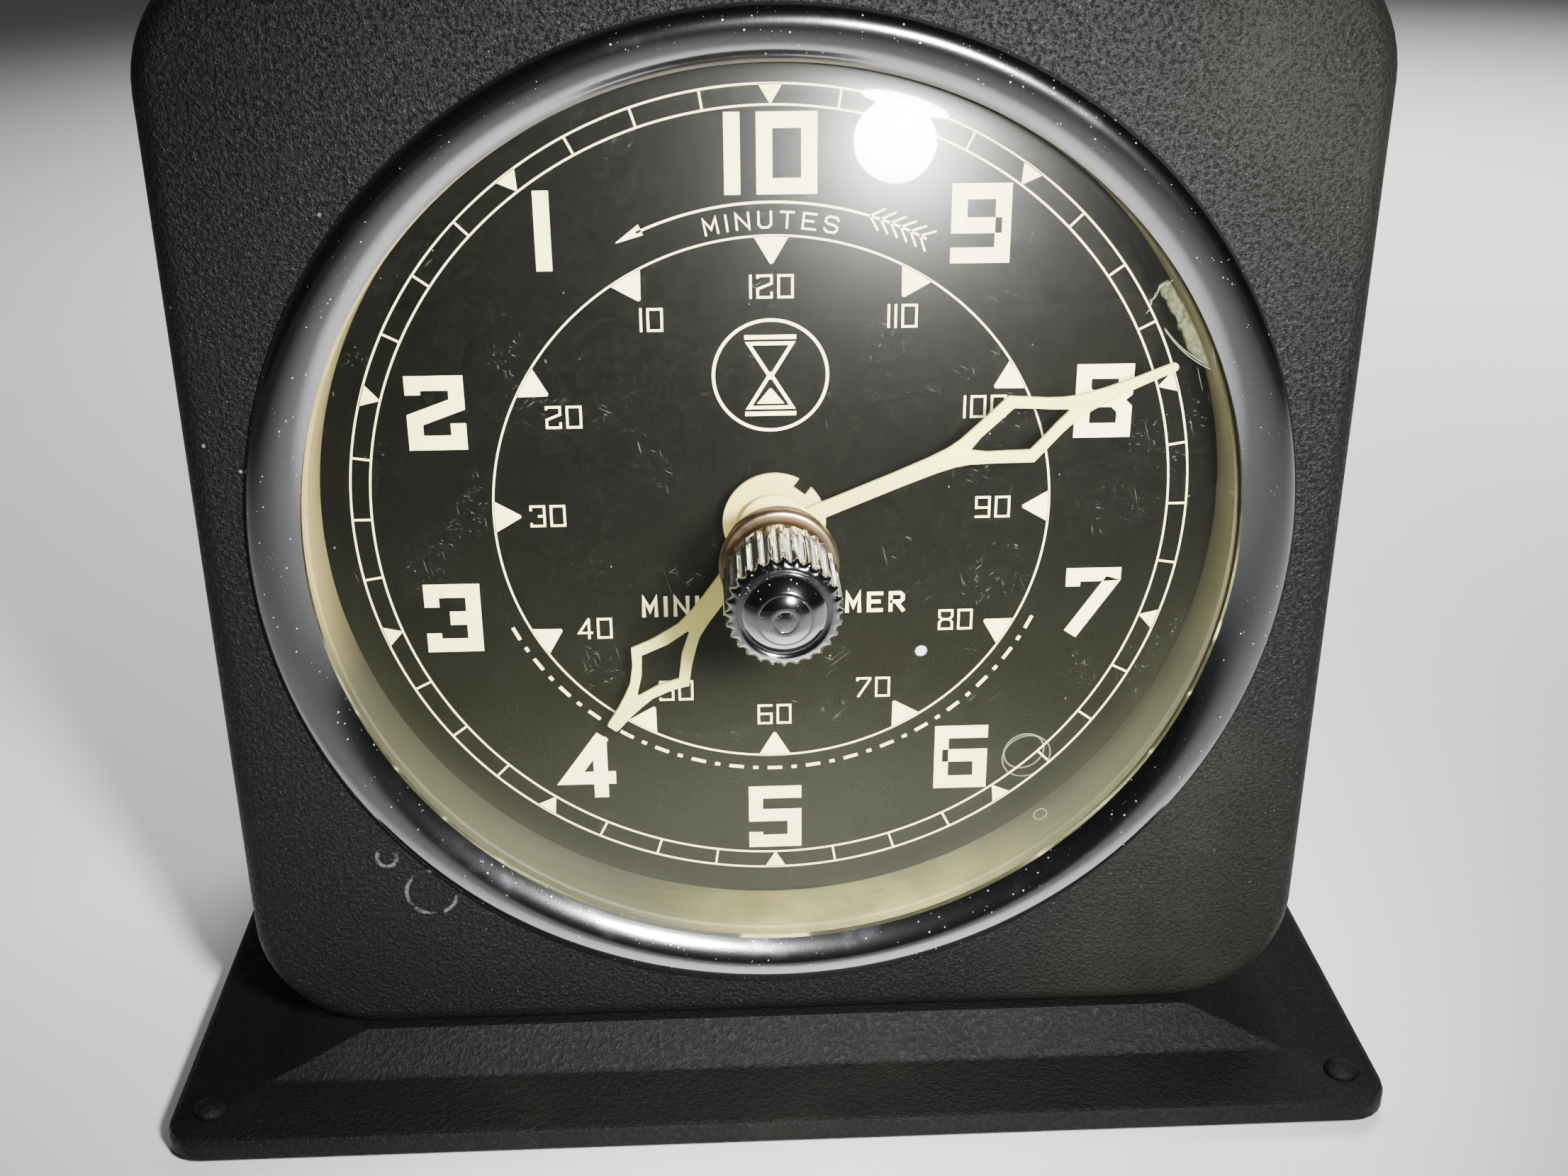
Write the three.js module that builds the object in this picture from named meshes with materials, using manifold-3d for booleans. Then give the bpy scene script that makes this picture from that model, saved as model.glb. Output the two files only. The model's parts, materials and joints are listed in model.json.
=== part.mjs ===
// Front-set electric interval timer: a square steel case on a base, two hands behind a domed crystal, the
// centre knob that sets them, and the movement that drives them.
//
// Millimetres, +Z up. The front faces -Y. The origin is the centre of the bounding box's bottom face.
// Pieces are modelled round the dial: x to the right, y behind the dial's face, z up from its centre.

import * as THREE from "three";
import * as BufferGeometryUtils from "three/addons/utils/BufferGeometryUtils.js";
import Module from "manifold-3d";

const wasm = await Module();
wasm.setup();

// ---------------------------------------------------------------- driving dimensions

const GAP = 0.3;                    // left between a piece and the one it rests on
const SLIP = 0.1;                   // left between a piece and the hole it sits in

const DIAL_HEIGHT = 79.5;           // dial centre above the surface that the timer stands on
const DIAL_RADIUS = 58.8;
const DIAL_THICKNESS = 0.8;

const CASE_SIDE = 140;              // a 5 1/2 inch square
const CASE_CORNER = 16;
const CASE_WALL = 1.5;
const CASE_EDGE = 3;                // radius of the front edge
const CASE_FRONT = -12.2;
const CASE_DEPTH = 69.2;
const CASE_REAR = CASE_FRONT + CASE_DEPTH;
const CASE_BACK_OPENING = 116;

const BEZEL_OUTER = 63.5;           // a 5 inch bezel
const BEZEL_CREST = 61.25;
const BEZEL_LIP = 57.1;
const BEZEL_PROUD = 1.7;            // crest above the case
const BEZEL_DISH = 2;               // fall from the crest to the lip
const WINDOW_RADIUS = 60.3;

const CRYSTAL_RADIUS = 58.6;
const CRYSTAL_DOME = 56;            // where the dome meets the flat rim
const CRYSTAL_TOP = -17.7;
const CRYSTAL_RISE = 6.8;
const CRYSTAL_THICKNESS = 1.5;
const CRYSTAL_HOLE = 6.3;

const KNOB_RADIUS = 6.75;
const KNOB_BACK = -21.3;
const KNOB_RIM = -31.4;
const KNOB_TIP = -34;
const KNOB_COLLAR = [3.4, -19.6];   // radius and rear end
const KNOB_FLUTES = 28;

const BASE_WIDTH = 162;
const BASE_MARGIN = 15.4;           // the base's flange stands this far out of the case, front and rear
const BASE_FRONT = CASE_FRONT - BASE_MARGIN;
const BASE_REAR = CASE_REAR + BASE_MARGIN;
const BASE_SHEET = 1.2;
const BASE_FLANGE_TOP = -75;
const BASE_SKIRT = 3.3;
const BASE_CORNER = 5;
const BASE_STEP = 11.2;             // flange width round the raised centre
const RIVET_INSET = [5.2, 6.3];     // rivet centres in from the base's side and front edges

const SCALE_MINUTES = 120;          // one turn of the short hand
const LONG_HAND_MINUTES = 10;       // one turn of the long hand
const SET_MINUTES = 48.14;          // what the hands show
const LONG_HAND_ANGLE = 2 * Math.PI * (SET_MINUTES / LONG_HAND_MINUTES);
const SHORT_HAND_ANGLE = 2 * Math.PI * (SET_MINUTES / SCALE_MINUTES);

const FRONT_PLATE_Y = 12;
const BACK_PLATE_Y = 36;
const PLATE_THICKNESS = 1.5;
const CHASSIS_SIDE = 112;
const POST_OFFSET = 50;

const ARBOR_RADIUS = 1.5;
const ARBOR_FRONT = -28.6;
const PIVOT_RADIUS = 1;
const CANNON_RADIUS = 2.4;
const HOUR_TUBE_RADIUS = 3.4;
const STUD_RADIUS = 1.2;
const RUNNING_FIT = 0.08;           // added to a turned hole's radius where a shaft turns in it

const HAND_WORK_CENTRES = 20;
const HAND_WORK_ANGLE = Math.PI / 4;
const CANNON_GEAR = { teeth: 10, module: 1 };
const MINUTE_GEAR = { teeth: 30, module: 1 };
const MINUTE_PINION = { teeth: 10, module: 0.8 };
const HOUR_GEAR = { teeth: 40, module: 0.8 };

const TRAIN_CENTRES = 16.8;
const TRAIN_WHEEL = { teeth: 48, module: 0.6 };
const TRAIN_PINION = { teeth: 8, module: 0.6 };
const INTERMEDIATE_ANGLE = Math.PI * 7 / 6;
const ROTOR_ANGLE = Math.PI * 5 / 3;

const CAM_RADIUS = 12;
const CAM_LOBE = 1.6;
const CAM_LAYER = 4.7;
const LEVER_PIVOT = [-16, -24];
const LEVER_TAIL = [-40, -46];

const CORE_Y = BACK_PLATE_Y + PLATE_THICKNESS + GAP;
const CORE_STACK = 9;
const CORE_HOLE = 10.5;
const COIL_LIMB = [-60, -50];       // bottom and top of the limb that the coil sits on

const [FINE, ROUND, SMALL] = [40, 20, 8];   // facets round large, running and small turned pieces

const minuteAxis = polar(HAND_WORK_CENTRES, HAND_WORK_ANGLE);
const intermediateAxis = polar(TRAIN_CENTRES, INTERMEDIATE_ANGLE);
const rotorAxis = polar(TRAIN_CENTRES, ROTOR_ANGLE).map((value, i) => value + intermediateAxis[i]);

// ---------------------------------------------------------------- finishes

function finish(color, metalness, roughness) {
  return new THREE.MeshStandardMaterial({ color, metalness, roughness });
}

const wrinklePaint = finish(0x2d2e30, 0.1, 0.75);
const basePaint = finish(0x26241f, 0.1, 0.6);
const chrome = finish(0xd0d2d4, 1, 0.12);
const steel = finish(0x9a9c9e, 1, 0.35);
const brass = finish(0xb9974f, 1, 0.3);
const bronze = finish(0x9a6238, 1, 0.3);
const dialBlack = finish(0x17180f, 0, 0.5);
const creamPaint = finish(0xe8e2c8, 0, 0.55);
const creamRing = finish(0x8f8664, 0, 0.7);
const clearPlastic = new THREE.MeshStandardMaterial({
  color: 0xe9e6d2, roughness: 0.08, transparent: true, opacity: 0.3,
});
const rubber = finish(0x1c1b1a, 0, 0.85);
const coilTape = finish(0x8a6a2c, 0, 0.6);
const phenolic = finish(0x4a2a18, 0, 0.45);
const laminations = finish(0x55585a, 0.9, 0.5);

// ---------------------------------------------------------------- geometry helpers

function polar(radius, angle) {
  return [radius * Math.cos(angle), radius * Math.sin(angle)];
}

// Merges shared corners, drops triangles that have closed up, and turns every face outward.
function weld(geometry) {
  const bare = geometry.clone();
  bare.deleteAttribute("normal");
  bare.deleteAttribute("uv");
  const merged = BufferGeometryUtils.mergeVertices(bare, 1e-4);
  const corners = merged.index.array;
  const kept = [];
  for (let i = 0; i < corners.length; i += 3) {
    const [a, b, c] = [corners[i], corners[i + 1], corners[i + 2]];
    if (a !== b && b !== c && c !== a) kept.push(a, b, c);
  }
  if (volume(merged.attributes.position, kept) < 0) kept.reverse();
  merged.setIndex(kept);
  return merged;
}

function volume(positions, corners) {
  const [a, b, c] = [new THREE.Vector3(), new THREE.Vector3(), new THREE.Vector3()];
  let sum = 0;
  for (let i = 0; i < corners.length; i += 3) {
    a.fromBufferAttribute(positions, corners[i]);
    b.fromBufferAttribute(positions, corners[i + 1]);
    c.fromBufferAttribute(positions, corners[i + 2]);
    sum += a.dot(b.cross(c));
  }
  return sum / 6;
}

function solid(geometry) {
  const merged = weld(geometry);
  const vertProperties = new Float32Array(merged.attributes.position.array);
  const triVerts = new Uint32Array(merged.index.array);
  return new wasm.Manifold(new wasm.Mesh({ numProp: 3, vertProperties, triVerts }));
}

function surface(manifold) {
  const mesh = manifold.getMesh();
  const geometry = new THREE.BufferGeometry();
  geometry.setAttribute("position", new THREE.BufferAttribute(mesh.vertProperties, 3));
  geometry.setIndex(new THREE.BufferAttribute(mesh.triVerts, 1));
  return geometry;
}

function join(first, ...others) {
  return surface(others.reduce((whole, other) => whole.add(solid(other)), solid(first)));
}

function cut(body, ...tools) {
  return surface(tools.reduce((rest, tool) => rest.subtract(solid(tool)), solid(body)));
}

// A flat outline, drawn as seen from the front, made solid from y = 0 back to y = thickness.
function plate(shape, thickness, curveSegments = 6) {
  const geometry = new THREE.ExtrudeGeometry(shape, { depth: thickness, bevelEnabled: false, curveSegments });
  return geometry.rotateX(Math.PI / 2).translate(0, thickness, 0);
}

// A profile of [radius, y] points turned round the Y axis.
function turned(profile, facets) {
  return new THREE.LatheGeometry(profile.map(([r, y]) => new THREE.Vector2(r, y)), facets);
}

// The same for a ring: the profile closes on itself.
function ring(profile, facets) {
  return turned([...profile, profile[0]], facets);
}

function rod(radius, from, to, facets = SMALL) {
  return turned([[0, from], [radius, from], [radius, to], [0, to]], facets);
}

function tube(inner, outer, from, to, facets = ROUND) {
  return ring([[inner, from], [outer, from], [outer, to], [inner, to]], facets);
}

function box(x, y, z) {
  const size = [x, y, z].map(([low, high]) => high - low);
  const middle = [x, y, z].map(([low, high]) => (high + low) / 2);
  return new THREE.BoxGeometry(...size).translate(...middle);
}

function roundedRectangle(width, height, radius, centreY = 0) {
  const [x, y] = [width / 2, height / 2];
  const shape = new THREE.Shape();
  shape.moveTo(-x + radius, centreY - y);
  shape.absarc(x - radius, centreY - y + radius, radius, -Math.PI / 2, 0);
  shape.absarc(x - radius, centreY + y - radius, radius, 0, Math.PI / 2);
  shape.absarc(-x + radius, centreY + y - radius, radius, Math.PI / 2, Math.PI);
  shape.absarc(-x + radius, centreY - y + radius, radius, Math.PI, Math.PI * 3 / 2);
  return shape;
}

// A faceted hole that a round of this radius still passes through.
function roundHole(radius, x = 0, y = 0, facets = 12) {
  const corner = radius / Math.cos(Math.PI / facets);
  const points = Array.from({ length: facets }, (_, i) => polar(corner, -2 * Math.PI * i / facets));
  return new THREE.Path(points.map(([u, v]) => new THREE.Vector2(x + u, y + v)));
}

const group = new THREE.Group();
const dialGroup = new THREE.Group();
dialGroup.position.set(0, -(KNOB_TIP + BASE_REAR) / 2, DIAL_HEIGHT);
group.add(dialGroup);

// Adds one named piece. at is its [x, z] place and y its depth; turn rolls it round the Y axis.
function add(name, geometry, material, { at = [0, 0], y = 0, turn = 0, upright = false } = {}) {
  const mesh = new THREE.Mesh(weld(geometry), material);
  mesh.name = name;
  mesh.position.set(at[0], y, at[1]);
  mesh.rotation.set(upright ? Math.PI / 2 : 0, -turn, 0);
  dialGroup.add(mesh);
}

// ---------------------------------------------------------------- case, cover and base

const CORNERS = [[-1, 1], [1, 1], [-1, -1], [1, -1]];
const COVER_SCREW_OFFSET = 60.5;
const COVER_THICKNESS = 1.2;
const BUSHING_AT = [44, -46];
const BUSHING_BORE = 3.6;
const BUSHING_NECK = 6;
const BASE_SCREW_AT = 40;
const BASE_MIDDLE = (BASE_FRONT + BASE_REAR) / 2;
const M3 = 1.5;
const M4 = 1.9;

function caseShell() {
  const flat = CASE_SIDE - 2 * CASE_EDGE;
  const block = roundedRectangle(flat, flat, CASE_CORNER - CASE_EDGE);
  const bevelled = new THREE.ExtrudeGeometry(block, {
    depth: CASE_DEPTH, bevelThickness: CASE_EDGE, bevelSize: CASE_EDGE, bevelSegments: 2, curveSegments: 5,
  });
  bevelled.rotateX(Math.PI / 2).translate(0, CASE_REAR + CASE_EDGE, 0);
  const inside = CASE_SIDE - 2 * CASE_WALL;
  const hollow = roundedRectangle(inside, inside, CASE_CORNER - CASE_WALL);
  const cavity = plate(hollow, CASE_DEPTH - 2 * CASE_WALL, 5).translate(0, CASE_FRONT + CASE_WALL, 0);
  const behind = box([-CASE_SIDE, CASE_SIDE], [CASE_REAR, CASE_REAR + CASE_SIDE], [-CASE_SIDE, CASE_SIDE]);
  const backOutline = roundedRectangle(CASE_BACK_OPENING, CASE_BACK_OPENING, CASE_CORNER);
  const backOpening = plate(backOutline, CASE_DEPTH / 2).translate(0, CASE_REAR - CASE_DEPTH / 4, 0);
  const window = rod(WINDOW_RADIUS, CASE_FRONT - 1, CASE_FRONT + 2 * CASE_WALL, FINE);
  const screwHoles = CORNERS.map(([i, k]) => (
    rod(M3 + SLIP, CASE_REAR - 2 * CASE_WALL, CASE_REAR + 1)
      .translate(i * COVER_SCREW_OFFSET, 0, k * COVER_SCREW_OFFSET)
  ));
  return cut(bevelled, behind, cavity, backOpening, window, ...screwHoles, ...baseScrewHoles());
}

function baseScrewHoles() {
  return [-1, 1].map((side) => (
    rod(M4 + SLIP, -CASE_SIDE / 2 - 8, -CASE_SIDE / 2 + 4)
      .rotateX(Math.PI / 2)
      .translate(side * BASE_SCREW_AT, BASE_MIDDLE, 0)
  ));
}

// A block with a level top and bottom: low and high are [half width, front y, rear y, z].
function taperedBlock(low, high) {
  const geometry = new THREE.BoxGeometry(2, 2, 2);
  const points = geometry.attributes.position;
  for (let i = 0; i < points.count; i += 1) {
    const [halfWidth, front, rear, z] = points.getZ(i) > 0 ? high : low;
    points.setXYZ(i, points.getX(i) * halfWidth, points.getY(i) < 0 ? front : rear, z);
  }
  return geometry;
}

// The flat stepped base in one sheet: a turned-down flange round a raised, mitred centre.
function basePlinth() {
  const depth = BASE_REAR - BASE_FRONT;
  const skirtBottom = BASE_FLANGE_TOP - BASE_SKIRT;
  const step = { side: BASE_WIDTH / 2 - BASE_STEP, front: BASE_FRONT + BASE_STEP, rear: BASE_REAR - BASE_STEP };
  const slab = (inset, bottom, top) => {
    const width = BASE_WIDTH - 2 * inset;
    const outline = roundedRectangle(width, depth - 2 * inset, BASE_CORNER - inset, BASE_MIDDLE);
    const settings = { depth: top - bottom, bevelEnabled: false, curveSegments: 6 };
    return new THREE.ExtrudeGeometry(outline, settings).translate(0, 0, bottom);
  };
  const centre = (inset, bottom, top) => taperedBlock(
    [step.side - inset, step.front + inset, step.rear - inset, bottom],
    [RAISED_HALF_WIDTH - inset, CASE_FRONT + 0.8 + inset, CASE_REAR - 0.8 - inset, top],
  );
  const raisedTop = -CASE_SIDE / 2 - GAP;
  const outside = join(slab(0, skirtBottom, BASE_FLANGE_TOP), centre(0, BASE_FLANGE_TOP - 0.5, raisedTop));
  const rivetHoles = rivetPlaces().map(([x, y]) => (
    rod(STUD_RADIUS + SLIP, skirtBottom, BASE_FLANGE_TOP + 1).rotateX(Math.PI / 2).translate(x, y, 0)
  ));
  return cut(
    outside,
    slab(BASE_SHEET, skirtBottom - 1, BASE_FLANGE_TOP - BASE_SHEET),
    centre(BASE_SHEET, BASE_FLANGE_TOP - 2 * BASE_SHEET, raisedTop - BASE_SHEET),
    ...baseScrewHoles(),
    ...rivetHoles,
  );
}

function rivetPlaces() {
  const x = BASE_WIDTH / 2 - RIVET_INSET[0];
  return [BASE_FRONT + RIVET_INSET[1], BASE_REAR - RIVET_INSET[1]].flatMap((y) => [[-x, y], [x, y]]);
}

const RAISED_HALF_WIDTH = 56.8;
const FOOT_RADIUS = 3.7;
const RIVET_HEAD = 2.3;

function footProfile() {
  const top = BASE_FLANGE_TOP - BASE_SHEET - SLIP;
  const bottom = -DIAL_HEIGHT;
  const seat = bottom + 1.4;
  return [
    [STUD_RADIUS + SLIP, seat], [STUD_RADIUS + 0.9, seat], [STUD_RADIUS + 0.9, bottom],
    [FOOT_RADIUS - 0.5, bottom], [FOOT_RADIUS, bottom + 0.6], [FOOT_RADIUS, top], [STUD_RADIUS + SLIP, top],
  ];
}

function rivetProfile() {
  const underHead = BASE_FLANGE_TOP + SLIP / 2;
  const seat = -DIAL_HEIGHT + 1.4 - SLIP / 2;
  return [
    [0, seat - 0.6], [STUD_RADIUS + 0.6, seat - 0.6], [STUD_RADIUS + 0.6, seat], [STUD_RADIUS, seat],
    [STUD_RADIUS, underHead], [RIVET_HEAD, underHead], [RIVET_HEAD * 0.8, underHead + 0.7],
    [RIVET_HEAD * 0.4, underHead + 1.1], [0, underHead + 1.2],
  ];
}

function feetAndRivets() {
  rivetPlaces().forEach(([x, y], i) => {
    add(`base_foot_${i + 1}`, ring(footProfile(), SMALL), rubber, { at: [x, 0], y, upright: true });
    add(`foot_rivet_${i + 1}`, turned(rivetProfile(), SMALL), basePaint, { at: [x, 0], y, upright: true });
  });
}

function baseScrews() {
  const head = -CASE_SIDE / 2 - GAP - BASE_SHEET - SLIP;
  const profile = screwProfile(M4, 3.4, 2, 6).map(([r, y]) => [r, head + y]);
  [-1, 1].forEach((side, i) => {
    const place = { at: [side * BASE_SCREW_AT, 0], y: BASE_MIDDLE, upright: true };
    add(`base_screw_${i + 1}`, turned(profile, SMALL), steel, place);
  });
}

// A cheese-head screw with its head below y = 0 and its shank up to y = length.
function screwProfile(shank, headRadius, headHeight, length) {
  return [
    [0, -headHeight], [headRadius * 0.85, -headHeight], [headRadius, -headHeight * 0.7], [headRadius, 0],
    [shank, 0], [shank, length], [0, length],
  ];
}

function rearCover() {
  const side = CASE_SIDE - 5;
  const outline = roundedRectangle(side, side, CASE_CORNER - 2.5);
  for (const [i, k] of CORNERS) {
    outline.holes.push(roundHole(M3 + SLIP, i * COVER_SCREW_OFFSET, k * COVER_SCREW_OFFSET));
  }
  outline.holes.push(roundHole(BUSHING_NECK + SLIP, ...BUSHING_AT));
  for (const bank of [-1, 1]) {
    for (let row = 0; row < 5; row += 1) {
      const [x, z] = [bank * 27, 34 - row * 9];
      const slot = new THREE.Path();
      slot.moveTo(x - 16, z - 1.2);
      slot.absarc(x - 16, z, 1.2, -Math.PI / 2, -Math.PI * 3 / 2, true);
      slot.absarc(x + 16, z, 1.2, Math.PI / 2, -Math.PI / 2, true);
      outline.holes.push(slot);
    }
  }
  return plate(outline, COVER_THICKNESS, 3);
}

function coverPieces() {
  const coverY = CASE_REAR + SLIP;
  add("rear_cover", rearCover(), wrinklePaint, { y: coverY });
  const profile = screwProfile(M3, 2.8, 1.7, 6).map(([r, y]) => [r, -y]);
  CORNERS.forEach(([i, k], n) => {
    const at = [i * COVER_SCREW_OFFSET, k * COVER_SCREW_OFFSET];
    const y = coverY + COVER_THICKNESS + SLIP;
    add(`rear_cover_screw_${n + 1}`, turned(profile, SMALL), steel, { at, y });
  });
  const [inner, outer] = [-2.5, 4.2];
  const collar = BUSHING_NECK + 1.8;
  const bushing = [
    [BUSHING_BORE, inner], [collar - 0.6, inner], [collar, inner + 0.7], [collar, -SLIP], [BUSHING_NECK, -SLIP],
    [BUSHING_NECK, COVER_THICKNESS + SLIP], [collar, COVER_THICKNESS + SLIP], [collar, outer - 1],
    [collar - 0.6, outer], [BUSHING_BORE, outer],
  ];
  add("cord_bushing", ring(bushing, 16), rubber, { at: BUSHING_AT, y: coverY });
}

// ---------------------------------------------------------------- front: bezel, crystal, spacer, dial

const LIP_BACK = -11.1;
const NECK = [59, 59.9];
const NECK_END = -6;
const SPACER = [56.8, 58.4];
const SPACER_FRONT = crystalFront(CRYSTAL_DOME) + CRYSTAL_THICKNESS + SLIP;

// A low roll: a quarter ellipse from the case up to its crest, then a parabola down to the lip, with a
// neck behind that reaches through the window to three tabs.
function bezelRing() {
  const seat = CASE_FRONT - SLIP;
  const profile = [];
  const steps = 4;
  for (let i = 0; i <= steps; i += 1) {
    const angle = Math.PI / 2 * (i / steps);
    const radius = BEZEL_CREST + (BEZEL_OUTER - BEZEL_CREST) * Math.cos(angle);
    profile.push([radius, seat - BEZEL_PROUD * Math.sin(angle)]);
  }
  for (const share of [0.4, 0.7, 1]) {
    const radius = BEZEL_CREST + (BEZEL_LIP - BEZEL_CREST) * share;
    profile.push([radius, seat - BEZEL_PROUD + BEZEL_DISH * share * share]);
  }
  profile.push([BEZEL_LIP, LIP_BACK], [NECK[0], LIP_BACK], [NECK[0], NECK_END]);
  profile.push([NECK[1], NECK_END], [NECK[1], seat]);
  const tab = box([NECK[0] + 0.3, BEZEL_OUTER - 0.5], [-10.5, -9.7], [-6, 6]);
  const tabs = [0, 1, 2].map((i) => tab.clone().rotateY(Math.PI / 2 + i * Math.PI * 2 / 3));
  return join(ring(profile, FINE), ...tabs);
}

// Depth of the crystal's front surface at a radius: a shallow sphere.
function crystalFront(radius) {
  const sphere = (CRYSTAL_DOME * CRYSTAL_DOME + CRYSTAL_RISE * CRYSTAL_RISE) / (2 * CRYSTAL_RISE);
  return CRYSTAL_TOP + sphere - Math.sqrt(sphere * sphere - radius * radius);
}

function crystalShell() {
  const radii = [CRYSTAL_HOLE, 24, 40, CRYSTAL_DOME];
  const rim = crystalFront(CRYSTAL_DOME);
  const front = radii.map((r) => [r, crystalFront(r)]);
  const back = radii.map((r) => [r, crystalFront(r) + CRYSTAL_THICKNESS]).reverse();
  const flange = [[CRYSTAL_RADIUS, rim], [CRYSTAL_RADIUS, rim + CRYSTAL_THICKNESS]];
  return ring([...front, ...flange, ...back], FINE);
}

function crystalEyelet() {
  const [bore, neck, flange] = [5.2, 6.1, 7.2];
  const front = crystalFront(CRYSTAL_HOLE) - SLIP;
  const back = crystalFront(flange) + CRYSTAL_THICKNESS + SLIP;
  return ring([
    [bore, front - 0.3], [bore + 0.5, front - 0.9], [flange - 0.4, front - 0.8], [flange, front - 0.3],
    [flange, front], [neck, front], [neck, back], [flange - 0.3, back], [flange - 0.3, back + 0.6],
    [bore, back + 0.6],
  ], ROUND);
}

function dialPlate() {
  const disc = tube(4.3, DIAL_RADIUS, 0, DIAL_THICKNESS, FINE);
  const foot = rod(1.5, DIAL_THICKNESS / 2, FRONT_PLATE_Y - SLIP);
  const feet = [-44, 44].map((x) => foot.clone().translate(x, 0, 0));
  return join(disc, ...feet);
}

// ---------------------------------------------------------------- hands and knob

// A pierced diamond hand, pointing up: a thin shaft that flares in hollow curves to a diamond and draws
// in again to a blunt point. Distances are from the pivot.
function handShape(hand) {
  const { tip, widest, windowLow, windowHigh, halfWidth, windowHalf, shaft, point, hub } = hand;
  const flare = windowLow - 4.5;
  const taper = windowHigh + 6;
  const root = Math.sqrt(hub * hub - shaft * shaft);
  const shape = new THREE.Shape();
  shape.moveTo(shaft, root);
  shape.lineTo(shaft, flare);
  shape.quadraticCurveTo(shaft * 1.6, (flare + widest) / 2, halfWidth, widest);
  shape.quadraticCurveTo(shaft * 1.7, (widest + taper) / 2, shaft, taper);
  shape.lineTo(point, tip);
  shape.lineTo(-point, tip);
  shape.lineTo(-shaft, taper);
  shape.quadraticCurveTo(-shaft * 1.7, (widest + taper) / 2, -halfWidth, widest);
  shape.quadraticCurveTo(-shaft * 1.6, (flare + widest) / 2, -shaft, flare);
  shape.lineTo(-shaft, root);
  const rootAngle = Math.atan2(root, shaft);
  shape.absarc(0, 0, hub, Math.PI - rootAngle, Math.PI * 2 + rootAngle);
  const window = new THREE.Path();
  window.moveTo(0, windowLow);
  window.lineTo(-windowHalf, widest);
  window.lineTo(0, windowHigh);
  window.lineTo(windowHalf, widest);
  window.closePath();
  shape.holes.push(window, roundHole(hand.bore, 0, 0, ROUND));
  return shape;
}

const HAND_THICKNESS = 0.6;
const LONG_HAND = {
  tip: 53, widest: 32.7, windowLow: 26.4, windowHigh: 38.8, halfWidth: 4.6, windowHalf: 2.95,
  shaft: 0.85, point: 0.5, hub: 4.6, bore: CANNON_RADIUS + SLIP, y: -6.4,
};
const SHORT_HAND = {
  tip: 36, widest: 24.9, windowLow: 18.7, windowHigh: 29.8, halfWidth: 4.6, windowHalf: 3,
  shaft: 1.1, point: 0.8, hub: 6.5, bore: HOUR_TUBE_RADIUS + SLIP, y: -3.9,
};
const HUB_NOTCH = [1.9, 1.3];       // width and depth of the cut in the short hand's hub

function hands() {
  const long = plate(handShape(LONG_HAND), HAND_THICKNESS, 4);
  add("long_hand", long, creamPaint, { y: LONG_HAND.y, turn: LONG_HAND_ANGLE });
  const [width, depth] = HUB_NOTCH;
  const notch = box([-width / 2, width / 2], [-1, 1], [-SHORT_HAND.hub - 1, depth - SHORT_HAND.hub]);
  const short = cut(plate(handShape(SHORT_HAND), HAND_THICKNESS, 4), notch);
  add("short_hand", short, creamPaint, { y: SHORT_HAND.y, turn: SHORT_HAND_ANGLE });
}

// Straight scalloped grip, chamfered rim and a stepped dome, with a collar behind.
function setKnob() {
  const grip = new THREE.Shape();
  const step = 2 * Math.PI / KNOB_FLUTES;
  for (let i = 0; i < KNOB_FLUTES; i += 1) {
    for (const [offset, depth] of [[-0.4, 0], [-0.15, 0.4], [0.15, 0.4]]) {
      const [x, y] = polar(KNOB_RADIUS - depth, (i + offset) * step);
      if (i === 0 && depth === 0) grip.moveTo(x, y);
      else grip.lineTo(x, y);
    }
  }
  grip.closePath();
  const body = plate(grip, KNOB_BACK - KNOB_RIM).translate(0, KNOB_RIM, 0);
  const face = turned([
    [0, KNOB_TIP], [2, KNOB_TIP + 0.2], [3.6, KNOB_TIP + 0.8], [4.5, KNOB_TIP + 1.7], [4.7, KNOB_RIM - 0.7],
    [5.9, KNOB_RIM - 0.5], [6.1, KNOB_RIM + 0.2], [0, KNOB_RIM + 0.2],
  ], 28);
  const collar = rod(KNOB_COLLAR[0], KNOB_BACK - 0.5, KNOB_COLLAR[1], 20);
  const socket = rod(ARBOR_RADIUS + SLIP, ARBOR_FRONT - 0.4, 0, ROUND);
  return cut(join(body, face, collar), socket);
}

// ---------------------------------------------------------------- gears

const TOOTH_TIP = 0.2;              // tooth width at its tip and root, as a share of the pitch
const TOOTH_ROOT = 0.52;
const ADDENDUM = 0.8;
const DEDENDUM = 1.25;

function gearShape({ teeth, module }, bore) {
  const pitch = 2 * Math.PI / teeth;
  const tip = module * (teeth / 2 + ADDENDUM);
  const root = module * (teeth / 2 - DEDENDUM);
  const shape = new THREE.Shape();
  for (let i = 0; i < teeth; i += 1) {
    const corners = [[root, -TOOTH_ROOT], [tip, -TOOTH_TIP], [tip, TOOTH_TIP], [root, TOOTH_ROOT]];
    corners.forEach(([radius, width], n) => {
      const [x, y] = polar(radius, (i + width / 2) * pitch);
      if (i === 0 && n === 0) shape.moveTo(x, y);
      else shape.lineTo(x, y);
    });
  }
  shape.closePath();
  shape.holes.push(roundHole(bore, 0, 0, ROUND));
  return shape;
}

// How far a wheel must be turned for a gap of its teeth to face a tooth of the one it meets.
function meshTurn(leader, leaderTurn, follower, direction) {
  const leaderPhase = (direction - leaderTurn) / (2 * Math.PI / leader.teeth);
  const pitch = 2 * Math.PI / follower.teeth;
  return direction + Math.PI - pitch * (0.5 - leaderPhase);
}

function gear(spec, bore, width) {
  return plate(gearShape(spec, bore), width, 8);
}

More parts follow.
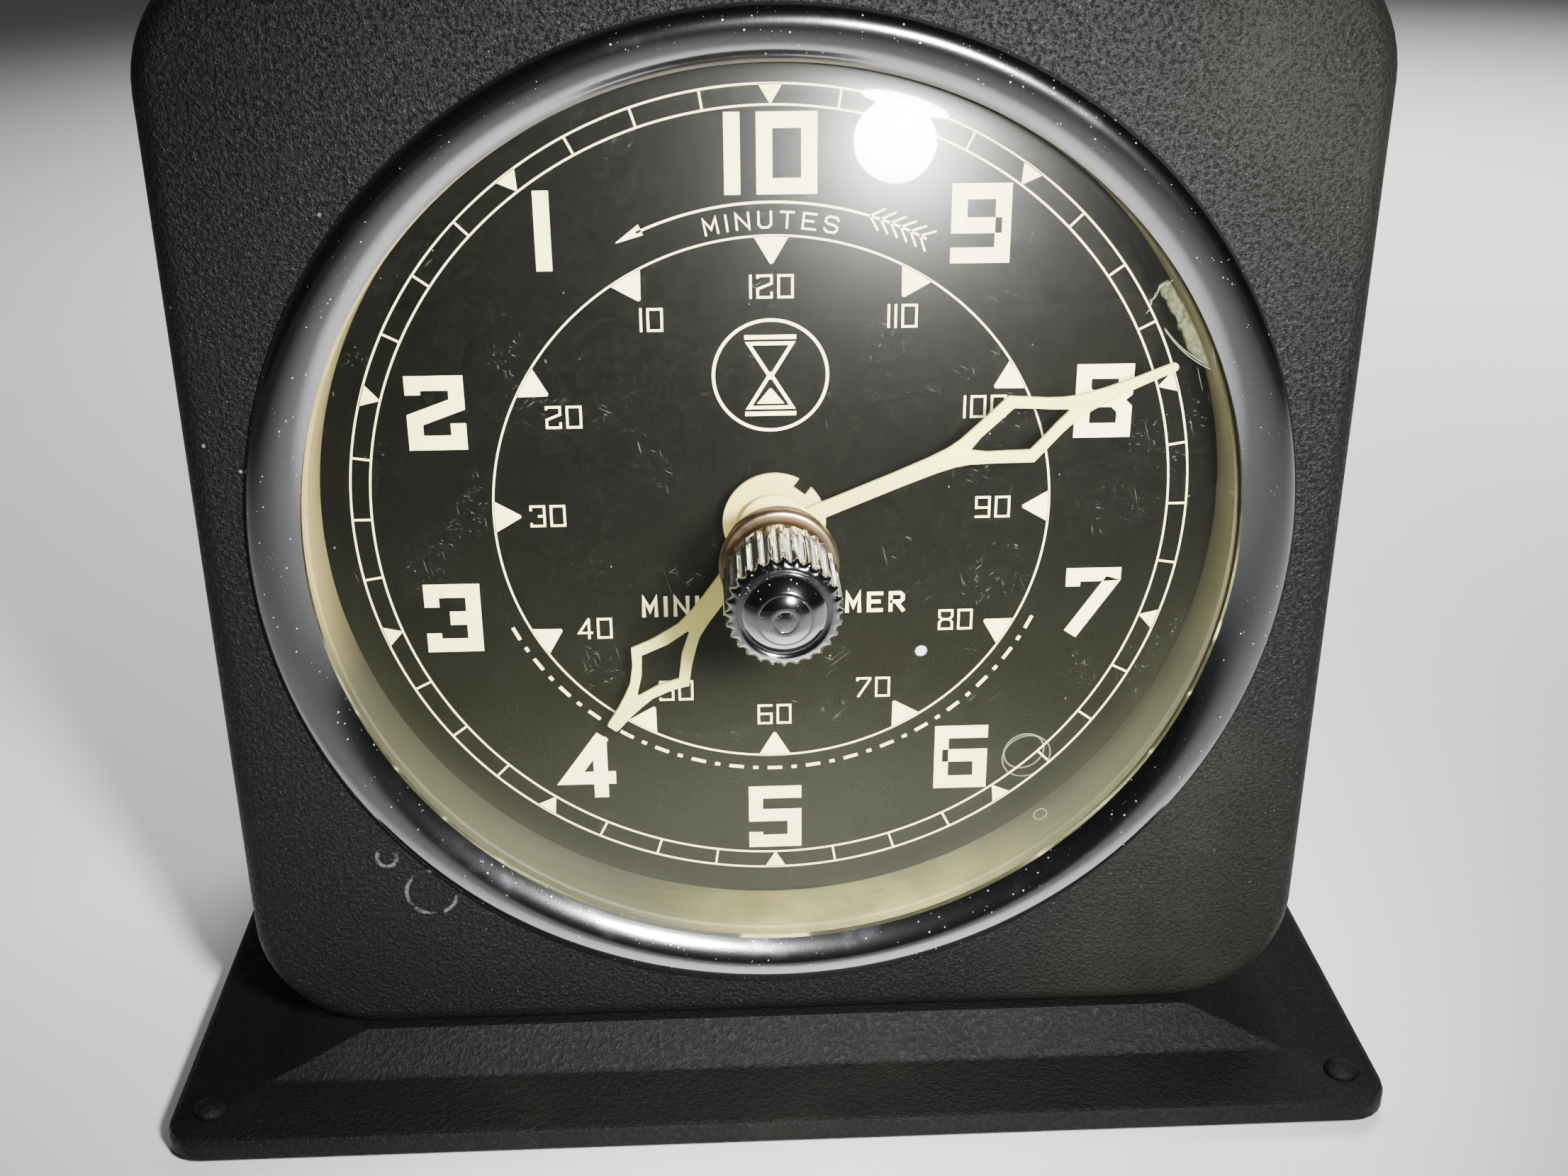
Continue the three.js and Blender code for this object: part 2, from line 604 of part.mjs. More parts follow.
// Round windows between hub and rim, as a clock wheel is lightened.
function crossings(spec, count) {
  const radius = spec.module * spec.teeth / 2;
  return Array.from({ length: count }, (_, i) => {
    const [x, z] = polar(radius * 0.56, 2 * Math.PI * i / count);
    return rod(radius * 0.24, -5, 5).translate(x, 0, z);
  });
}

// ---------------------------------------------------------------- hand work, in front of the movement

const CANNON_TEETH_Y = 7.4;
const MINUTE_WHEEL_Y = 8;
const HOUR_WHEEL_Y = 2.6;
const MINUTE_PINION_Y = 2.2;

function handWork() {
  const cannonTurn = LONG_HAND_ANGLE;
  const minuteTurn = meshTurn(CANNON_GEAR, cannonTurn, MINUTE_GEAR, HAND_WORK_ANGLE);
  const pinionTurn = minuteTurn;
  const hourTurn = meshTurn(MINUTE_PINION, pinionTurn, HOUR_GEAR, HAND_WORK_ANGLE + Math.PI);

  add("centre_arbor", centreArbor(), steel);
  const cannonBore = ARBOR_RADIUS + SLIP;
  const cannon = join(
    gear(CANNON_GEAR, cannonBore, 3).translate(0, CANNON_TEETH_Y, 0),
    tube(cannonBore, CANNON_RADIUS, -7.2, FRONT_PLATE_Y - 0.6),
  );
  add("cannon_pinion", cannon, brass, { turn: cannonTurn });

  add("minute_stud", rod(STUD_RADIUS, 1.2, FRONT_PLATE_Y + PLATE_THICKNESS, ROUND), steel, { at: minuteAxis });
  const minuteBore = STUD_RADIUS + RUNNING_FIT;
  const minuteWheel = cut(gear(MINUTE_GEAR, minuteBore, 1.2), ...crossings(MINUTE_GEAR, 4));
  add("minute_wheel", minuteWheel, brass, { at: minuteAxis, y: MINUTE_WHEEL_Y, turn: minuteTurn });
  const minutePinion = gear(MINUTE_PINION, minuteBore, MINUTE_WHEEL_Y - MINUTE_PINION_Y - SLIP);
  add("minute_pinion", minutePinion, steel, { at: minuteAxis, y: MINUTE_PINION_Y, turn: pinionTurn });

  const hourBore = CANNON_RADIUS + RUNNING_FIT;
  const hourWheel = join(
    gear(HOUR_GEAR, hourBore, 1.4).translate(0, HOUR_WHEEL_Y, 0),
    tube(hourBore, HOUR_TUBE_RADIUS, -4.6, 6.8),
  );
  add("hour_wheel", hourWheel, brass, { turn: hourTurn });
  add("alarm_cam", alarmCam(), steel, { y: CAM_LAYER, turn: SHORT_HAND_ANGLE });
}

function centreArbor() {
  const end = BACK_PLATE_Y + PLATE_THICKNESS + 1.5;
  return turned([
    [0, ARBOR_FRONT], [ARBOR_RADIUS, ARBOR_FRONT], [ARBOR_RADIUS, 14.2], [3, 14.2], [3, 15.6],
    [ARBOR_RADIUS, 15.6], [ARBOR_RADIUS, 20.6], [3.4, 20.6], [3.4, 21.5], [ARBOR_RADIUS, 21.5],
    [ARBOR_RADIUS, end], [0, end],
  ], ROUND);
}

// A round cam with one low lobe, which comes under the lever's nose when the hands reach zero.
function alarmCam() {
  const shape = new THREE.Shape();
  const lobeHalf = 0.11;
  const [x, y] = polar(CAM_RADIUS, Math.PI + lobeHalf);
  shape.moveTo(x, y);
  shape.absarc(0, 0, CAM_RADIUS, Math.PI + lobeHalf, Math.PI * 3 - lobeHalf);
  shape.lineTo(...polar(CAM_RADIUS + CAM_LOBE, Math.PI - lobeHalf / 3));
  shape.lineTo(...polar(CAM_RADIUS + CAM_LOBE, Math.PI + lobeHalf / 3));
  shape.closePath();
  shape.holes.push(roundHole(HOUR_TUBE_RADIUS + SLIP));
  return plate(shape, 1.4, 20);
}

// ---------------------------------------------------------------- alarm lever and buzzer

// A bell crank: its nose rides beside the cam, and a long pin at its tail reaches back to the reed.
function alarmLever() {
  const nose = [-CAM_RADIUS - 0.35 - LEVER_PIVOT[0], -LEVER_PIVOT[1]];
  const tail = [LEVER_TAIL[0] - LEVER_PIVOT[0], LEVER_TAIL[1] - LEVER_PIVOT[1]];
  const shape = new THREE.Shape();
  shape.moveTo(nose[0], nose[1]);
  shape.lineTo(nose[0] - 2.2, nose[1] + 1.6);
  shape.lineTo(nose[0] - 3, nose[1] - 2);
  shape.quadraticCurveTo(-3.2, 8, -3.4, 1.5);
  shape.lineTo(tail[0] - 1.6, tail[1] + 1.6);
  shape.lineTo(tail[0] + 1.6, tail[1] - 1.6);
  shape.lineTo(1.5, -3.4);
  shape.absarc(0, 0, 3.4, -1.1, 0.35);
  shape.quadraticCurveTo(2.2, 8, nose[0] - 0.4, nose[1] - 6);
  shape.closePath();
  shape.holes.push(roundHole(STUD_RADIUS + RUNNING_FIT));
  const pin = rod(STUD_RADIUS, 0.6, 46 - CAM_LAYER, 10).translate(tail[0], 0, tail[1]);
  return join(plate(shape, 1.2, 8), pin);
}

function alarmPieces() {
  const stud = rod(STUD_RADIUS, CAM_LAYER - 1, FRONT_PLATE_Y + PLATE_THICKNESS, ROUND);
  add("alarm_stud", stud, steel, { at: LEVER_PIVOT });
  add("alarm_lever", alarmLever(), steel, { at: LEVER_PIVOT, y: CAM_LAYER });
  const limbFace = rotorAxis[0] - CORE_HALF_WIDTH;
  const reedX = LEVER_TAIL[0] - STUD_RADIUS - 0.8;
  const strip = box([reedX, reedX + 0.5], [CORE_Y + 0.6, CORE_Y + 8.4], [-54, -12]);
  const clamp = box([reedX + 0.25, limbFace - SLIP], [CORE_Y + 0.6, CORE_Y + 8.4], [-22, -12]);
  add("buzzer_reed", join(strip, clamp), steel);
}

// ---------------------------------------------------------------- movement plates, motor and train

const PILLARS = [[-38, 26], [32, 26], [30, -33]];
const CORE_HALF_WIDTH = 28;
const CORE_SCREWS = [-22, 22];
const CORE_SCREW_RISE = 10;
const PILLAR_RADIUS = 2.6;
const POST_RADIUS = 3.2;
const BEHIND_FRONT_PLATE = FRONT_PLATE_Y + PLATE_THICKNESS + SLIP;
const CLUTCH_Y = 16;
const INTERMEDIATE_WHEEL_Y = 22.4;
const ROTOR_CAN_Y = 27;

// The holes that both plates have for the centre and intermediate arbors.
function arborHoles() {
  return [
    roundHole(ARBOR_RADIUS + RUNNING_FIT / 2, 0, 0, ROUND),
    roundHole(PIVOT_RADIUS + RUNNING_FIT / 2, ...intermediateAxis, ROUND),
  ];
}

function frontPlate() {
  const outline = roundedRectangle(CHASSIS_SIDE, CHASSIS_SIDE, 6);
  const tight = STUD_RADIUS + SLIP;
  for (const [i, k] of CORNERS) outline.holes.push(roundHole(M3 + SLIP, i * POST_OFFSET, k * POST_OFFSET));
  outline.holes.push(roundHole(tight, ...minuteAxis), roundHole(tight, ...LEVER_PIVOT), ...arborHoles());
  const pinSlot = new THREE.Path();
  pinSlot.moveTo(-43, -51.5);
  pinSlot.lineTo(-43, -43);
  pinSlot.lineTo(-35, -43);
  pinSlot.lineTo(-35, -51.5);
  pinSlot.closePath();
  outline.holes.push(pinSlot);
  return plate(outline, PLATE_THICKNESS, 8);
}

function backPlate() {
  const outline = new THREE.Shape();
  outline.moveTo(-44, -38);
  outline.lineTo(38, -38);
  outline.lineTo(38, 32);
  outline.lineTo(-44, 32);
  outline.closePath();
  outline.holes.push(roundHole(CORE_HOLE, ...rotorAxis, ROUND), ...arborHoles());
  for (const offset of CORE_SCREWS) {
    outline.holes.push(roundHole(M3 + SLIP, rotorAxis[0] + offset, rotorAxis[1] + CORE_SCREW_RISE));
  }
  return plate(outline, PLATE_THICKNESS, 8);
}

function plates() {
  add("movement_front_plate", frontPlate(), brass, { y: FRONT_PLATE_Y });
  add("movement_back_plate", backPlate(), brass, { y: BACK_PLATE_Y });
  const pillarEnds = [BEHIND_FRONT_PLATE, BACK_PLATE_Y - SLIP];
  PILLARS.forEach((at, i) => add(`pillar_${i + 1}`, rod(PILLAR_RADIUS, ...pillarEnds), brass, { at }));
  const postEnds = [CASE_FRONT + CASE_WALL + SLIP, FRONT_PLATE_Y - SLIP];
  const screw = screwProfile(M3, 2.8, 1.7, 7).map(([r, y]) => [r, -y]);
  CORNERS.forEach(([i, k], n) => {
    const at = [i * POST_OFFSET, k * POST_OFFSET];
    const post = cut(rod(POST_RADIUS, ...postEnds), rod(M3 + SLIP, FRONT_PLATE_Y - 8, FRONT_PLATE_Y + 1));
    add(`mount_post_${n + 1}`, post, steel, { at });
    add(`chassis_screw_${n + 1}`, turned(screw, SMALL), steel, { at, y: BEHIND_FRONT_PLATE });
  });
}

// The laminated field: two poles round the rotor, side limbs, and the limb that the coil sits on.
function motorCore() {
  const [x, z] = rotorAxis;
  const stack = [CORE_Y, CORE_Y + CORE_STACK];
  const through = [CORE_Y - 1, CORE_Y + CORE_STACK + 1];
  const block = box([x - CORE_HALF_WIDTH, x + CORE_HALF_WIDTH], stack, [COIL_LIMB[0], z + 16]);
  const window = box([x - CORE_HALF_WIDTH + 11, x + CORE_HALF_WIDTH - 11], through, [COIL_LIMB[1], z - 17]);
  const poleGap = box([x - 1.6, x + 1.6], through, [z - 18, z]);
  const rotorHole = rod(CORE_HOLE, ...through, ROUND).translate(x, 0, z);
  const screwHole = rod(M3 + SLIP, ...through).translate(x, 0, z + CORE_SCREW_RISE);
  const screwHoles = CORE_SCREWS.map((offset) => screwHole.clone().translate(offset, 0, 0));
  return cut(block, window, poleGap, rotorHole, ...screwHoles);
}

function motorCoil() {
  const limb = (COIL_LIMB[0] + COIL_LIMB[1]) / 2;
  const middle = CORE_Y + CORE_STACK / 2;
  const [halfLength, halfSide] = [15, 11.6];
  const winding = box([-halfLength, halfLength], [-halfSide, halfSide], [-halfSide, halfSide]);
  const cheeks = [-1, 1].map((side) => (
    box([side * halfLength - 0.8, side * halfLength + 0.8], [-12.2, 12.2], [-12.2, 12.2])
  ));
  const bore = box([-20, 20], [-CORE_STACK / 2 - GAP, CORE_STACK / 2 + GAP], [-5 - GAP, 5 + GAP]);
  return cut(join(winding, ...cheeks), bore).translate(rotorAxis[0], middle, limb);
}

function motor() {
  add("motor_core", motorCore(), laminations);
  add("motor_coil", motorCoil(), coilTape);
  const rear = CORE_Y + CORE_STACK + 2;
  const can = turned([
    [0, ROTOR_CAN_Y + 0.6], [1.6, ROTOR_CAN_Y + 0.6], [1.6, ROTOR_CAN_Y], [13.5, ROTOR_CAN_Y],
    [15, ROTOR_CAN_Y + 1.5], [15, BACK_PLATE_Y - SLIP], [10, BACK_PLATE_Y - SLIP], [10, rear - 1], [9, rear],
    [0, rear],
  ], ROUND);
  add("rotor_can", can, bronze, { at: rotorAxis });
  const screw = screwProfile(M3, 2.8, 1.7, CORE_STACK + PLATE_THICKNESS + 1).map(([r, y]) => [r, -y]);
  CORE_SCREWS.forEach((offset, i) => {
    const at = [rotorAxis[0] + offset, rotorAxis[1] + CORE_SCREW_RISE];
    add(`core_screw_${i + 1}`, turned(screw, SMALL), steel, { at, y: CORE_Y + CORE_STACK + SLIP });
  });
}

function train() {
  const clutchWheel = gear(TRAIN_WHEEL, ARBOR_RADIUS + RUNNING_FIT, 2);
  add("clutch_wheel", clutchWheel, brass, { y: CLUTCH_Y });
  const spring = ring([[1.7, 20.1], [5.4, 18.3], [5.4, 18.7], [1.7, 20.5]], 20);
  add("friction_spring", spring, bronze);

  const arborTurn = meshTurn(TRAIN_WHEEL, 0, TRAIN_PINION, INTERMEDIATE_ANGLE);
  const pinion = gear(TRAIN_PINION, 0.5, 5.4).translate(0, CLUTCH_Y - 1, 0);
  const arbor = rod(PIVOT_RADIUS, FRONT_PLATE_Y - 0.5, BACK_PLATE_Y + PLATE_THICKNESS, ROUND);
  const place = { at: intermediateAxis, turn: arborTurn };
  add("intermediate_arbor", join(arbor, pinion), steel, place);
  const wheel = cut(gear(TRAIN_WHEEL, PIVOT_RADIUS + SLIP, 1), ...crossings(TRAIN_WHEEL, 4));
  add("intermediate_wheel", wheel, brass, { at: intermediateAxis, y: INTERMEDIATE_WHEEL_Y });

  const rotorTurn = meshTurn(TRAIN_WHEEL, 0, TRAIN_PINION, ROTOR_ANGLE);
  const rotorPinion = join(
    gear(TRAIN_PINION, 0.5, 3).translate(0, INTERMEDIATE_WHEEL_Y - 1, 0),
    rod(1, INTERMEDIATE_WHEEL_Y - 1.4, ROTOR_CAN_Y + 0.4, 16),
  );
  add("rotor_pinion", rotorPinion, steel, { at: rotorAxis, turn: rotorTurn });
}

// A moulded barrier strip with three terminal posts.
function terminalStrip() {
  const body = box([-14, 14], [0, 6], [-6, 6]);
  const barriers = [-14, -4.8, 4.4, 13].map((x) => box([x, x + 1], [5, 9], [-6, 6]));
  const posts = [-9, 0, 9].map((x) => rod(2.2, 5, 8, 8).translate(x, 0, 0));
  return join(body, ...barriers, ...posts);
}

// ---------------------------------------------------------------- assembly

add("case_shell", caseShell(), wrinklePaint);
add("base_plinth", basePlinth(), basePaint);
feetAndRivets();
baseScrews();
coverPieces();
add("bezel_ring", bezelRing(), chrome);
add("crystal", crystalShell(), clearPlastic);
add("crystal_eyelet", crystalEyelet(), bronze);
add("dial_spacer", tube(...SPACER, SPACER_FRONT, -SLIP, FINE), creamRing);
add("dial_plate", dialPlate(), dialBlack);
add("set_knob", setKnob(), chrome);
hands();
handWork();
alarmPieces();
plates();
motor();
train();
add("terminal_strip", terminalStrip(), phenolic, { at: [24, -49], y: BEHIND_FRONT_PLATE });

export default group;
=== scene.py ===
"""Lab interval timer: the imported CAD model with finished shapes, printing, worn materials and soft light."""

import json
import math

import bmesh
import bpy
from mathutils import Matrix, Vector

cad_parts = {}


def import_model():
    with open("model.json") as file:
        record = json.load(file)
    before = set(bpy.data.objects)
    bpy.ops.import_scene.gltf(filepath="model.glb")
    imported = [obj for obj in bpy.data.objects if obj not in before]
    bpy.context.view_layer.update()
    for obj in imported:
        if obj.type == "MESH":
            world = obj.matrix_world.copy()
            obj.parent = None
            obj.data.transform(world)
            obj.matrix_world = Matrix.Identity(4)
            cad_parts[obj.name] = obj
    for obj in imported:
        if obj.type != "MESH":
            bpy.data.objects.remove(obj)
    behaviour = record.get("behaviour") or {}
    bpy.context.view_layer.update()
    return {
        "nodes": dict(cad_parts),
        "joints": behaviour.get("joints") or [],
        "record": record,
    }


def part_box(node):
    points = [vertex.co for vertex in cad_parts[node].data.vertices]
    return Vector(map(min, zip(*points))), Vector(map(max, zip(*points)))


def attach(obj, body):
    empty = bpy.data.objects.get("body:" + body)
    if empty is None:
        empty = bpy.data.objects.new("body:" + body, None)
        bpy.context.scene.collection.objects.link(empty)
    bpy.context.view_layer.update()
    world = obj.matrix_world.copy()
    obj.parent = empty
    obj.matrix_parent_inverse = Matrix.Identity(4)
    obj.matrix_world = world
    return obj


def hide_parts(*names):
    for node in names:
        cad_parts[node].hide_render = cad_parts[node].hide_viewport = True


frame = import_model()

MM = 0.001
TURN = 2 * math.pi

# Places that the frame gives. Pieces are modelled in millimetres round the dial: x to the right,
# y behind the dial's face and z up from its centre.
spindle = next(j for j in frame["joints"] if j["name"] == "set_knob_turn")
DIAL = Vector((0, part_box("dial_plate")[0][1], spindle["pos_m"][2]))


def local_box(node):
    """A CAD node's lowest and highest corners in millimetres round the dial."""
    low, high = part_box(node)
    return (Vector(low) - DIAL) / MM, (Vector(high) - DIAL) / MM


CASE_LOW, CASE_HIGH = local_box("case_shell")
BEZEL_LOW, BEZEL_HIGH = local_box("bezel_ring")
CRYSTAL_LOW, CRYSTAL_HIGH = local_box("crystal")
KNOB_LOW, KNOB_HIGH = local_box("set_knob")
BASE_LOW, BASE_HIGH = local_box("base_plinth")
COVER_LOW, COVER_HIGH = local_box("rear_cover")

CASE_HALF = CASE_HIGH.x
CASE_CORNER = 16
CASE_EDGE = 3.2
WINDOW_RADIUS = 60.3
BEZEL_RADIUS = BEZEL_HIGH.x
BEZEL_CREST = 61.25
LIP_RADIUS = 57.1
SPACER_RADIUS = 56.8
CRYSTAL_RIM = 56.0
CRYSTAL_RISE = 6.8
CRYSTAL_SPHERE = (CRYSTAL_RIM**2 + CRYSTAL_RISE**2) / (2 * CRYSTAL_RISE)
CRYSTAL_HOLE = 6.3
KNOB_RADIUS = 6.75
KNOB_FLUTES = 28

CAMERA_PLACE = Vector((-8.15, -211.77, 83.56))
CAMERA_FORWARD = Vector((0.04098, 0.91254, -0.40693))
CAMERA_ROLL = math.radians(-0.26)
CAMERA_LENS = 40.87
HIGHLIGHT_PLACE = (13.4, 48.4)
SKY_FRONT = 0.015
SKY_BEHIND = 0.15


def world(point):
    """A point given in millimetres round the dial, in metres in the model's frame."""
    return DIAL + Vector(point) * MM


def add_object(name, data):
    """A new object in the scene."""
    made = bpy.data.objects.new(name, data)
    bpy.context.collection.objects.link(made)
    return made


# ---------------------------------------------------------------- camera, light and stage


def add_camera():
    """The camera where the view solved on the dial's circles puts it."""
    data = bpy.data.cameras.new("camera")
    data.sensor_width = 36
    data.lens = CAMERA_LENS
    data.clip_start = 0.01
    camera = add_object("camera", data)
    forward = CAMERA_FORWARD.normalized()
    right = forward.cross(Vector((0, 0, 1))).normalized()
    up = right.cross(forward)
    level = Matrix((right, up, -forward)).transposed()
    roll = Matrix.Rotation(CAMERA_ROLL, 3, "Z")
    camera.matrix_world = Matrix.Translation(world(CAMERA_PLACE)) @ (level @ roll).to_4x4()
    bpy.context.scene.camera = camera


def crystal_front(radius):
    """Depth of the crystal's front surface at a radius: a shallow sphere."""
    return CRYSTAL_LOW.y + CRYSTAL_SPHERE - math.sqrt(CRYSTAL_SPHERE**2 - radius**2)


def add_area_light(name, place, target, size, power, spread):
    """A round lamp aimed at target: metres, watts, and degrees of spread."""
    data = bpy.data.lights.new(name, "AREA")
    data.shape = "DISK"
    data.size = size
    data.energy = power
    data.spread = math.radians(spread)
    lamp = add_object(name, data)
    lamp.location = place
    lamp.rotation_euler = (Vector(target) - Vector(place)).to_track_quat("-Z", "Y").to_euler()


def mirror_direction():
    """The point at HIGHLIGHT_PLACE on the crystal, and the direction mirrored to the camera there."""
    x, z = HIGHLIGHT_PLACE
    point = Vector((x, crystal_front(math.hypot(x, z)), z))
    normal = (point - Vector((0, CRYSTAL_LOW.y + CRYSTAL_SPHERE, 0))).normalized()
    ray = (point - CAMERA_PLACE).normalized()
    return point, ray.reflect(normal)


def add_lights():
    """A small lamp by the camera, a soft one overhead, and a studio that is brighter behind the timer."""
    point, away = mirror_direction()
    lamp_distance = 215
    lamp, aim = world(point + away * lamp_distance), world((8, -12, -4))
    add_area_light("front_lamp", lamp, aim, size=0.036, power=0.56, spread=60)
    add_area_light("overhead_softbox", (0.24, 0.56, 1.05), (0.26, 0.52, 0), size=0.7, power=7.5, spread=80)
    sky = bpy.data.worlds.new("studio")
    sky.use_nodes = True
    nodes, links = sky.node_tree.nodes, sky.node_tree.links
    background = nodes["Background"]
    background.inputs["Color"].default_value = (0.92, 0.95, 1.0, 1)
    direction = nodes.new("ShaderNodeTexCoord")
    parts = nodes.new("ShaderNodeSeparateXYZ")
    glow = nodes.new("ShaderNodeMapRange")
    glow.interpolation_type = "SMOOTHSTEP"
    for key, value in (("From Min", -0.25), ("From Max", 0.9), ("To Min", SKY_FRONT), ("To Max", SKY_BEHIND)):
        glow.inputs[key].default_value = value
    links.new(direction.outputs["Generated"], parts.inputs[0])
    links.new(parts.outputs["Y"], glow.inputs["Value"])
    links.new(glow.outputs["Result"], background.inputs["Strength"])
    bpy.context.scene.world = sky


# ---------------------------------------------------------------- material helpers


class Shader:
    """A node material under construction, with the piece's own coordinates in millimetres."""

    def __init__(self, name, colour=(0.5, 0.5, 0.5), metallic=0.0, roughness=0.5, **values):
        self.material = bpy.data.materials.new(name)
        self.material.use_nodes = True
        self.tree = self.material.node_tree
        self.surface = self.tree.nodes["Principled BSDF"]
        self.output = self.tree.nodes["Material Output"]
        settings = {"Base Color": (*colour, 1), "Metallic": metallic, "Roughness": roughness, **values}
        for key, value in settings.items():
            self.surface.inputs[key].default_value = value
        place = self.tree.nodes.new("ShaderNodeTexCoord")
        scale = self.node("ShaderNodeVectorMath", operation="SCALE")
        scale.inputs["Scale"].default_value = 1 / MM
        self.link(place.outputs["Object"], scale.inputs[0])
        self.place = scale.outputs[0]

    def node(self, kind, **settings):
        made = self.tree.nodes.new(kind)
        for key, value in settings.items():
            setattr(made, key, value)
        return made

    def link(self, source, target):
        self.tree.links.new(source, target)

    def put(self, value, target):
        """Links a socket, or sets a plain value."""
        if isinstance(value, bpy.types.NodeSocket):
            self.link(value, target)
        else:
            target.default_value = value

    def noise(self, size, detail=4.0, roughness=0.55, stretch=None, distortion=0.0):
        """Noise whose features are about size millimetres across."""
        made = self.node("ShaderNodeTexNoise")
        settings = {"Scale": 1 / size, "Detail": detail, "Roughness": roughness, "Distortion": distortion}
        for key, value in settings.items():
            made.inputs[key].default_value = value
        self.link(self.mapped(stretch), made.inputs["Vector"])
        return made.outputs["Fac"]

    def mapped(self, stretch):
        """The coordinates turned about Y by stretch[0] degrees, then scaled by the rest."""
        if stretch is None:
            return self.place
        mapping = self.node("ShaderNodeMapping", vector_type="TEXTURE")
        mapping.inputs["Rotation"].default_value = (0, math.radians(stretch[0]), 0)
        mapping.inputs["Scale"].default_value = stretch[1:]
        self.link(self.place, mapping.inputs["Vector"])
        return mapping.outputs["Vector"]

    def cells(self, size):
        """Distance to the nearest of scattered points, in cells of about size millimetres."""
        made = self.node("ShaderNodeTexVoronoi")
        made.inputs["Scale"].default_value = 1 / size
        self.link(self.place, made.inputs["Vector"])
        return made.outputs["Distance"]

    def between(self, value, low, high):
        """0 below low, 1 above high, smooth between. It falls where low is the larger."""
        made = self.node("ShaderNodeMapRange", interpolation_type="SMOOTHSTEP")
        self.link(value, made.inputs["Value"])
        made.inputs["From Min"].default_value = min(low, high)
        made.inputs["From Max"].default_value = max(low, high)
        if low > high:
            made.inputs["To Min"].default_value = 1
            made.inputs["To Max"].default_value = 0
        return made.outputs["Result"]

    def math(self, operation, first, second=0.0):
        made = self.node("ShaderNodeMath", operation=operation)
        self.put(first, made.inputs[0])
        self.put(second, made.inputs[1])
        return made.outputs[0]

    def times(self, first, second):
        return self.math("MULTIPLY", first, second)

    def plus(self, first, second):
        return self.math("ADD", first, second)

    def minus(self, first, second):
        return self.math("SUBTRACT", first, second)

    def most(self, first, second):
        """The larger of two values."""
        return self.math("MAXIMUM", first, second)

    def mix(self, share, first, second):
        """A colour between two colours."""
        made = self.node("ShaderNodeMix", data_type="RGBA")
        self.put(share, made.inputs["Factor"])
        for value, socket in ((first, made.inputs[6]), (second, made.inputs[7])):
            self.put(value if isinstance(value, bpy.types.NodeSocket) else (*value, 1), socket)
        return made.outputs[2]

    def blend(self, share, first, second):
        """A number between two numbers."""
        made = self.node("ShaderNodeMix", data_type="FLOAT")
        for value, socket in ((share, "Factor"), (first, "A"), (second, "B")):
            self.put(value, made.inputs[socket])
        return made.outputs[0]

    def axis(self, name):
        """One of the coordinates, X, Y or Z, in millimetres from the model's origin."""
        made = self.node("ShaderNodeSeparateXYZ")
        self.link(self.place, made.inputs[0])
        return made.outputs[name]

    def distance(self, point):
        """Distance in millimetres from a point given round the dial."""
        made = self.node("ShaderNodeVectorMath", operation="DISTANCE")
        self.link(self.place, made.inputs[0])
        made.inputs[1].default_value = world(point) / MM
        return made.outputs["Value"]

    def patches(self, low, high, size, **options):
        """Noise turned into patches: 0 where it is below low, 1 where it is above high."""
        return self.between(self.noise(size, **options), low, high)

    def near(self, point, outside, inside):
        """1 within inside millimetres of a point, 0 beyond outside."""
        return self.between(self.distance(point), outside, inside)

    def dots(self, size, outside, inside):
        """Small round dots, at most one to a cell."""
        return self.between(self.cells(size), outside, inside)

    def from_shell(self, centre, radius):
        """Distance in millimetres from the surface of a sphere."""
        return self.math("ABSOLUTE", self.minus(self.distance(centre), radius))

    def down(self, start, end):
        """Grows from 0 to 1 between two heights from the dial's centre, the higher one first."""
        return self.between(self.axis("Z"), DIAL.z / MM + start, DIAL.z / MM + end)

    def colour(self, value):
        """The surface's base colour."""
        self.put(value, self.surface.inputs["Base Color"])

    def roughness(self, value):
        """The surface's roughness."""
        self.put(value, self.surface.inputs["Roughness"])

    def bump(self, height, depth, layer="Normal"):
        """Relief of depth millimetres, in the surface or in its coat."""
        made = self.node("ShaderNodeBump")
        made.inputs["Distance"].default_value = depth * MM
        self.link(height, made.inputs["Height"])
        self.link(made.outputs["Normal"], self.surface.inputs[layer])

    def mix_shaders(self, share, first, second):
        """A surface between two surfaces."""
        made = self.node("ShaderNodeMixShader")
        self.put(share, made.inputs[0])
        self.link(first, made.inputs[1])
        self.link(second, made.inputs[2])
        return made.outputs[0]


# ---------------------------------------------------------------- materials


# Dried drops low on the left of the case: centre and radius.
DROPS = (((-51.1, -12.2, -42.6), 1.3), ((-45.7, -12.2, -48.1), 3.3))


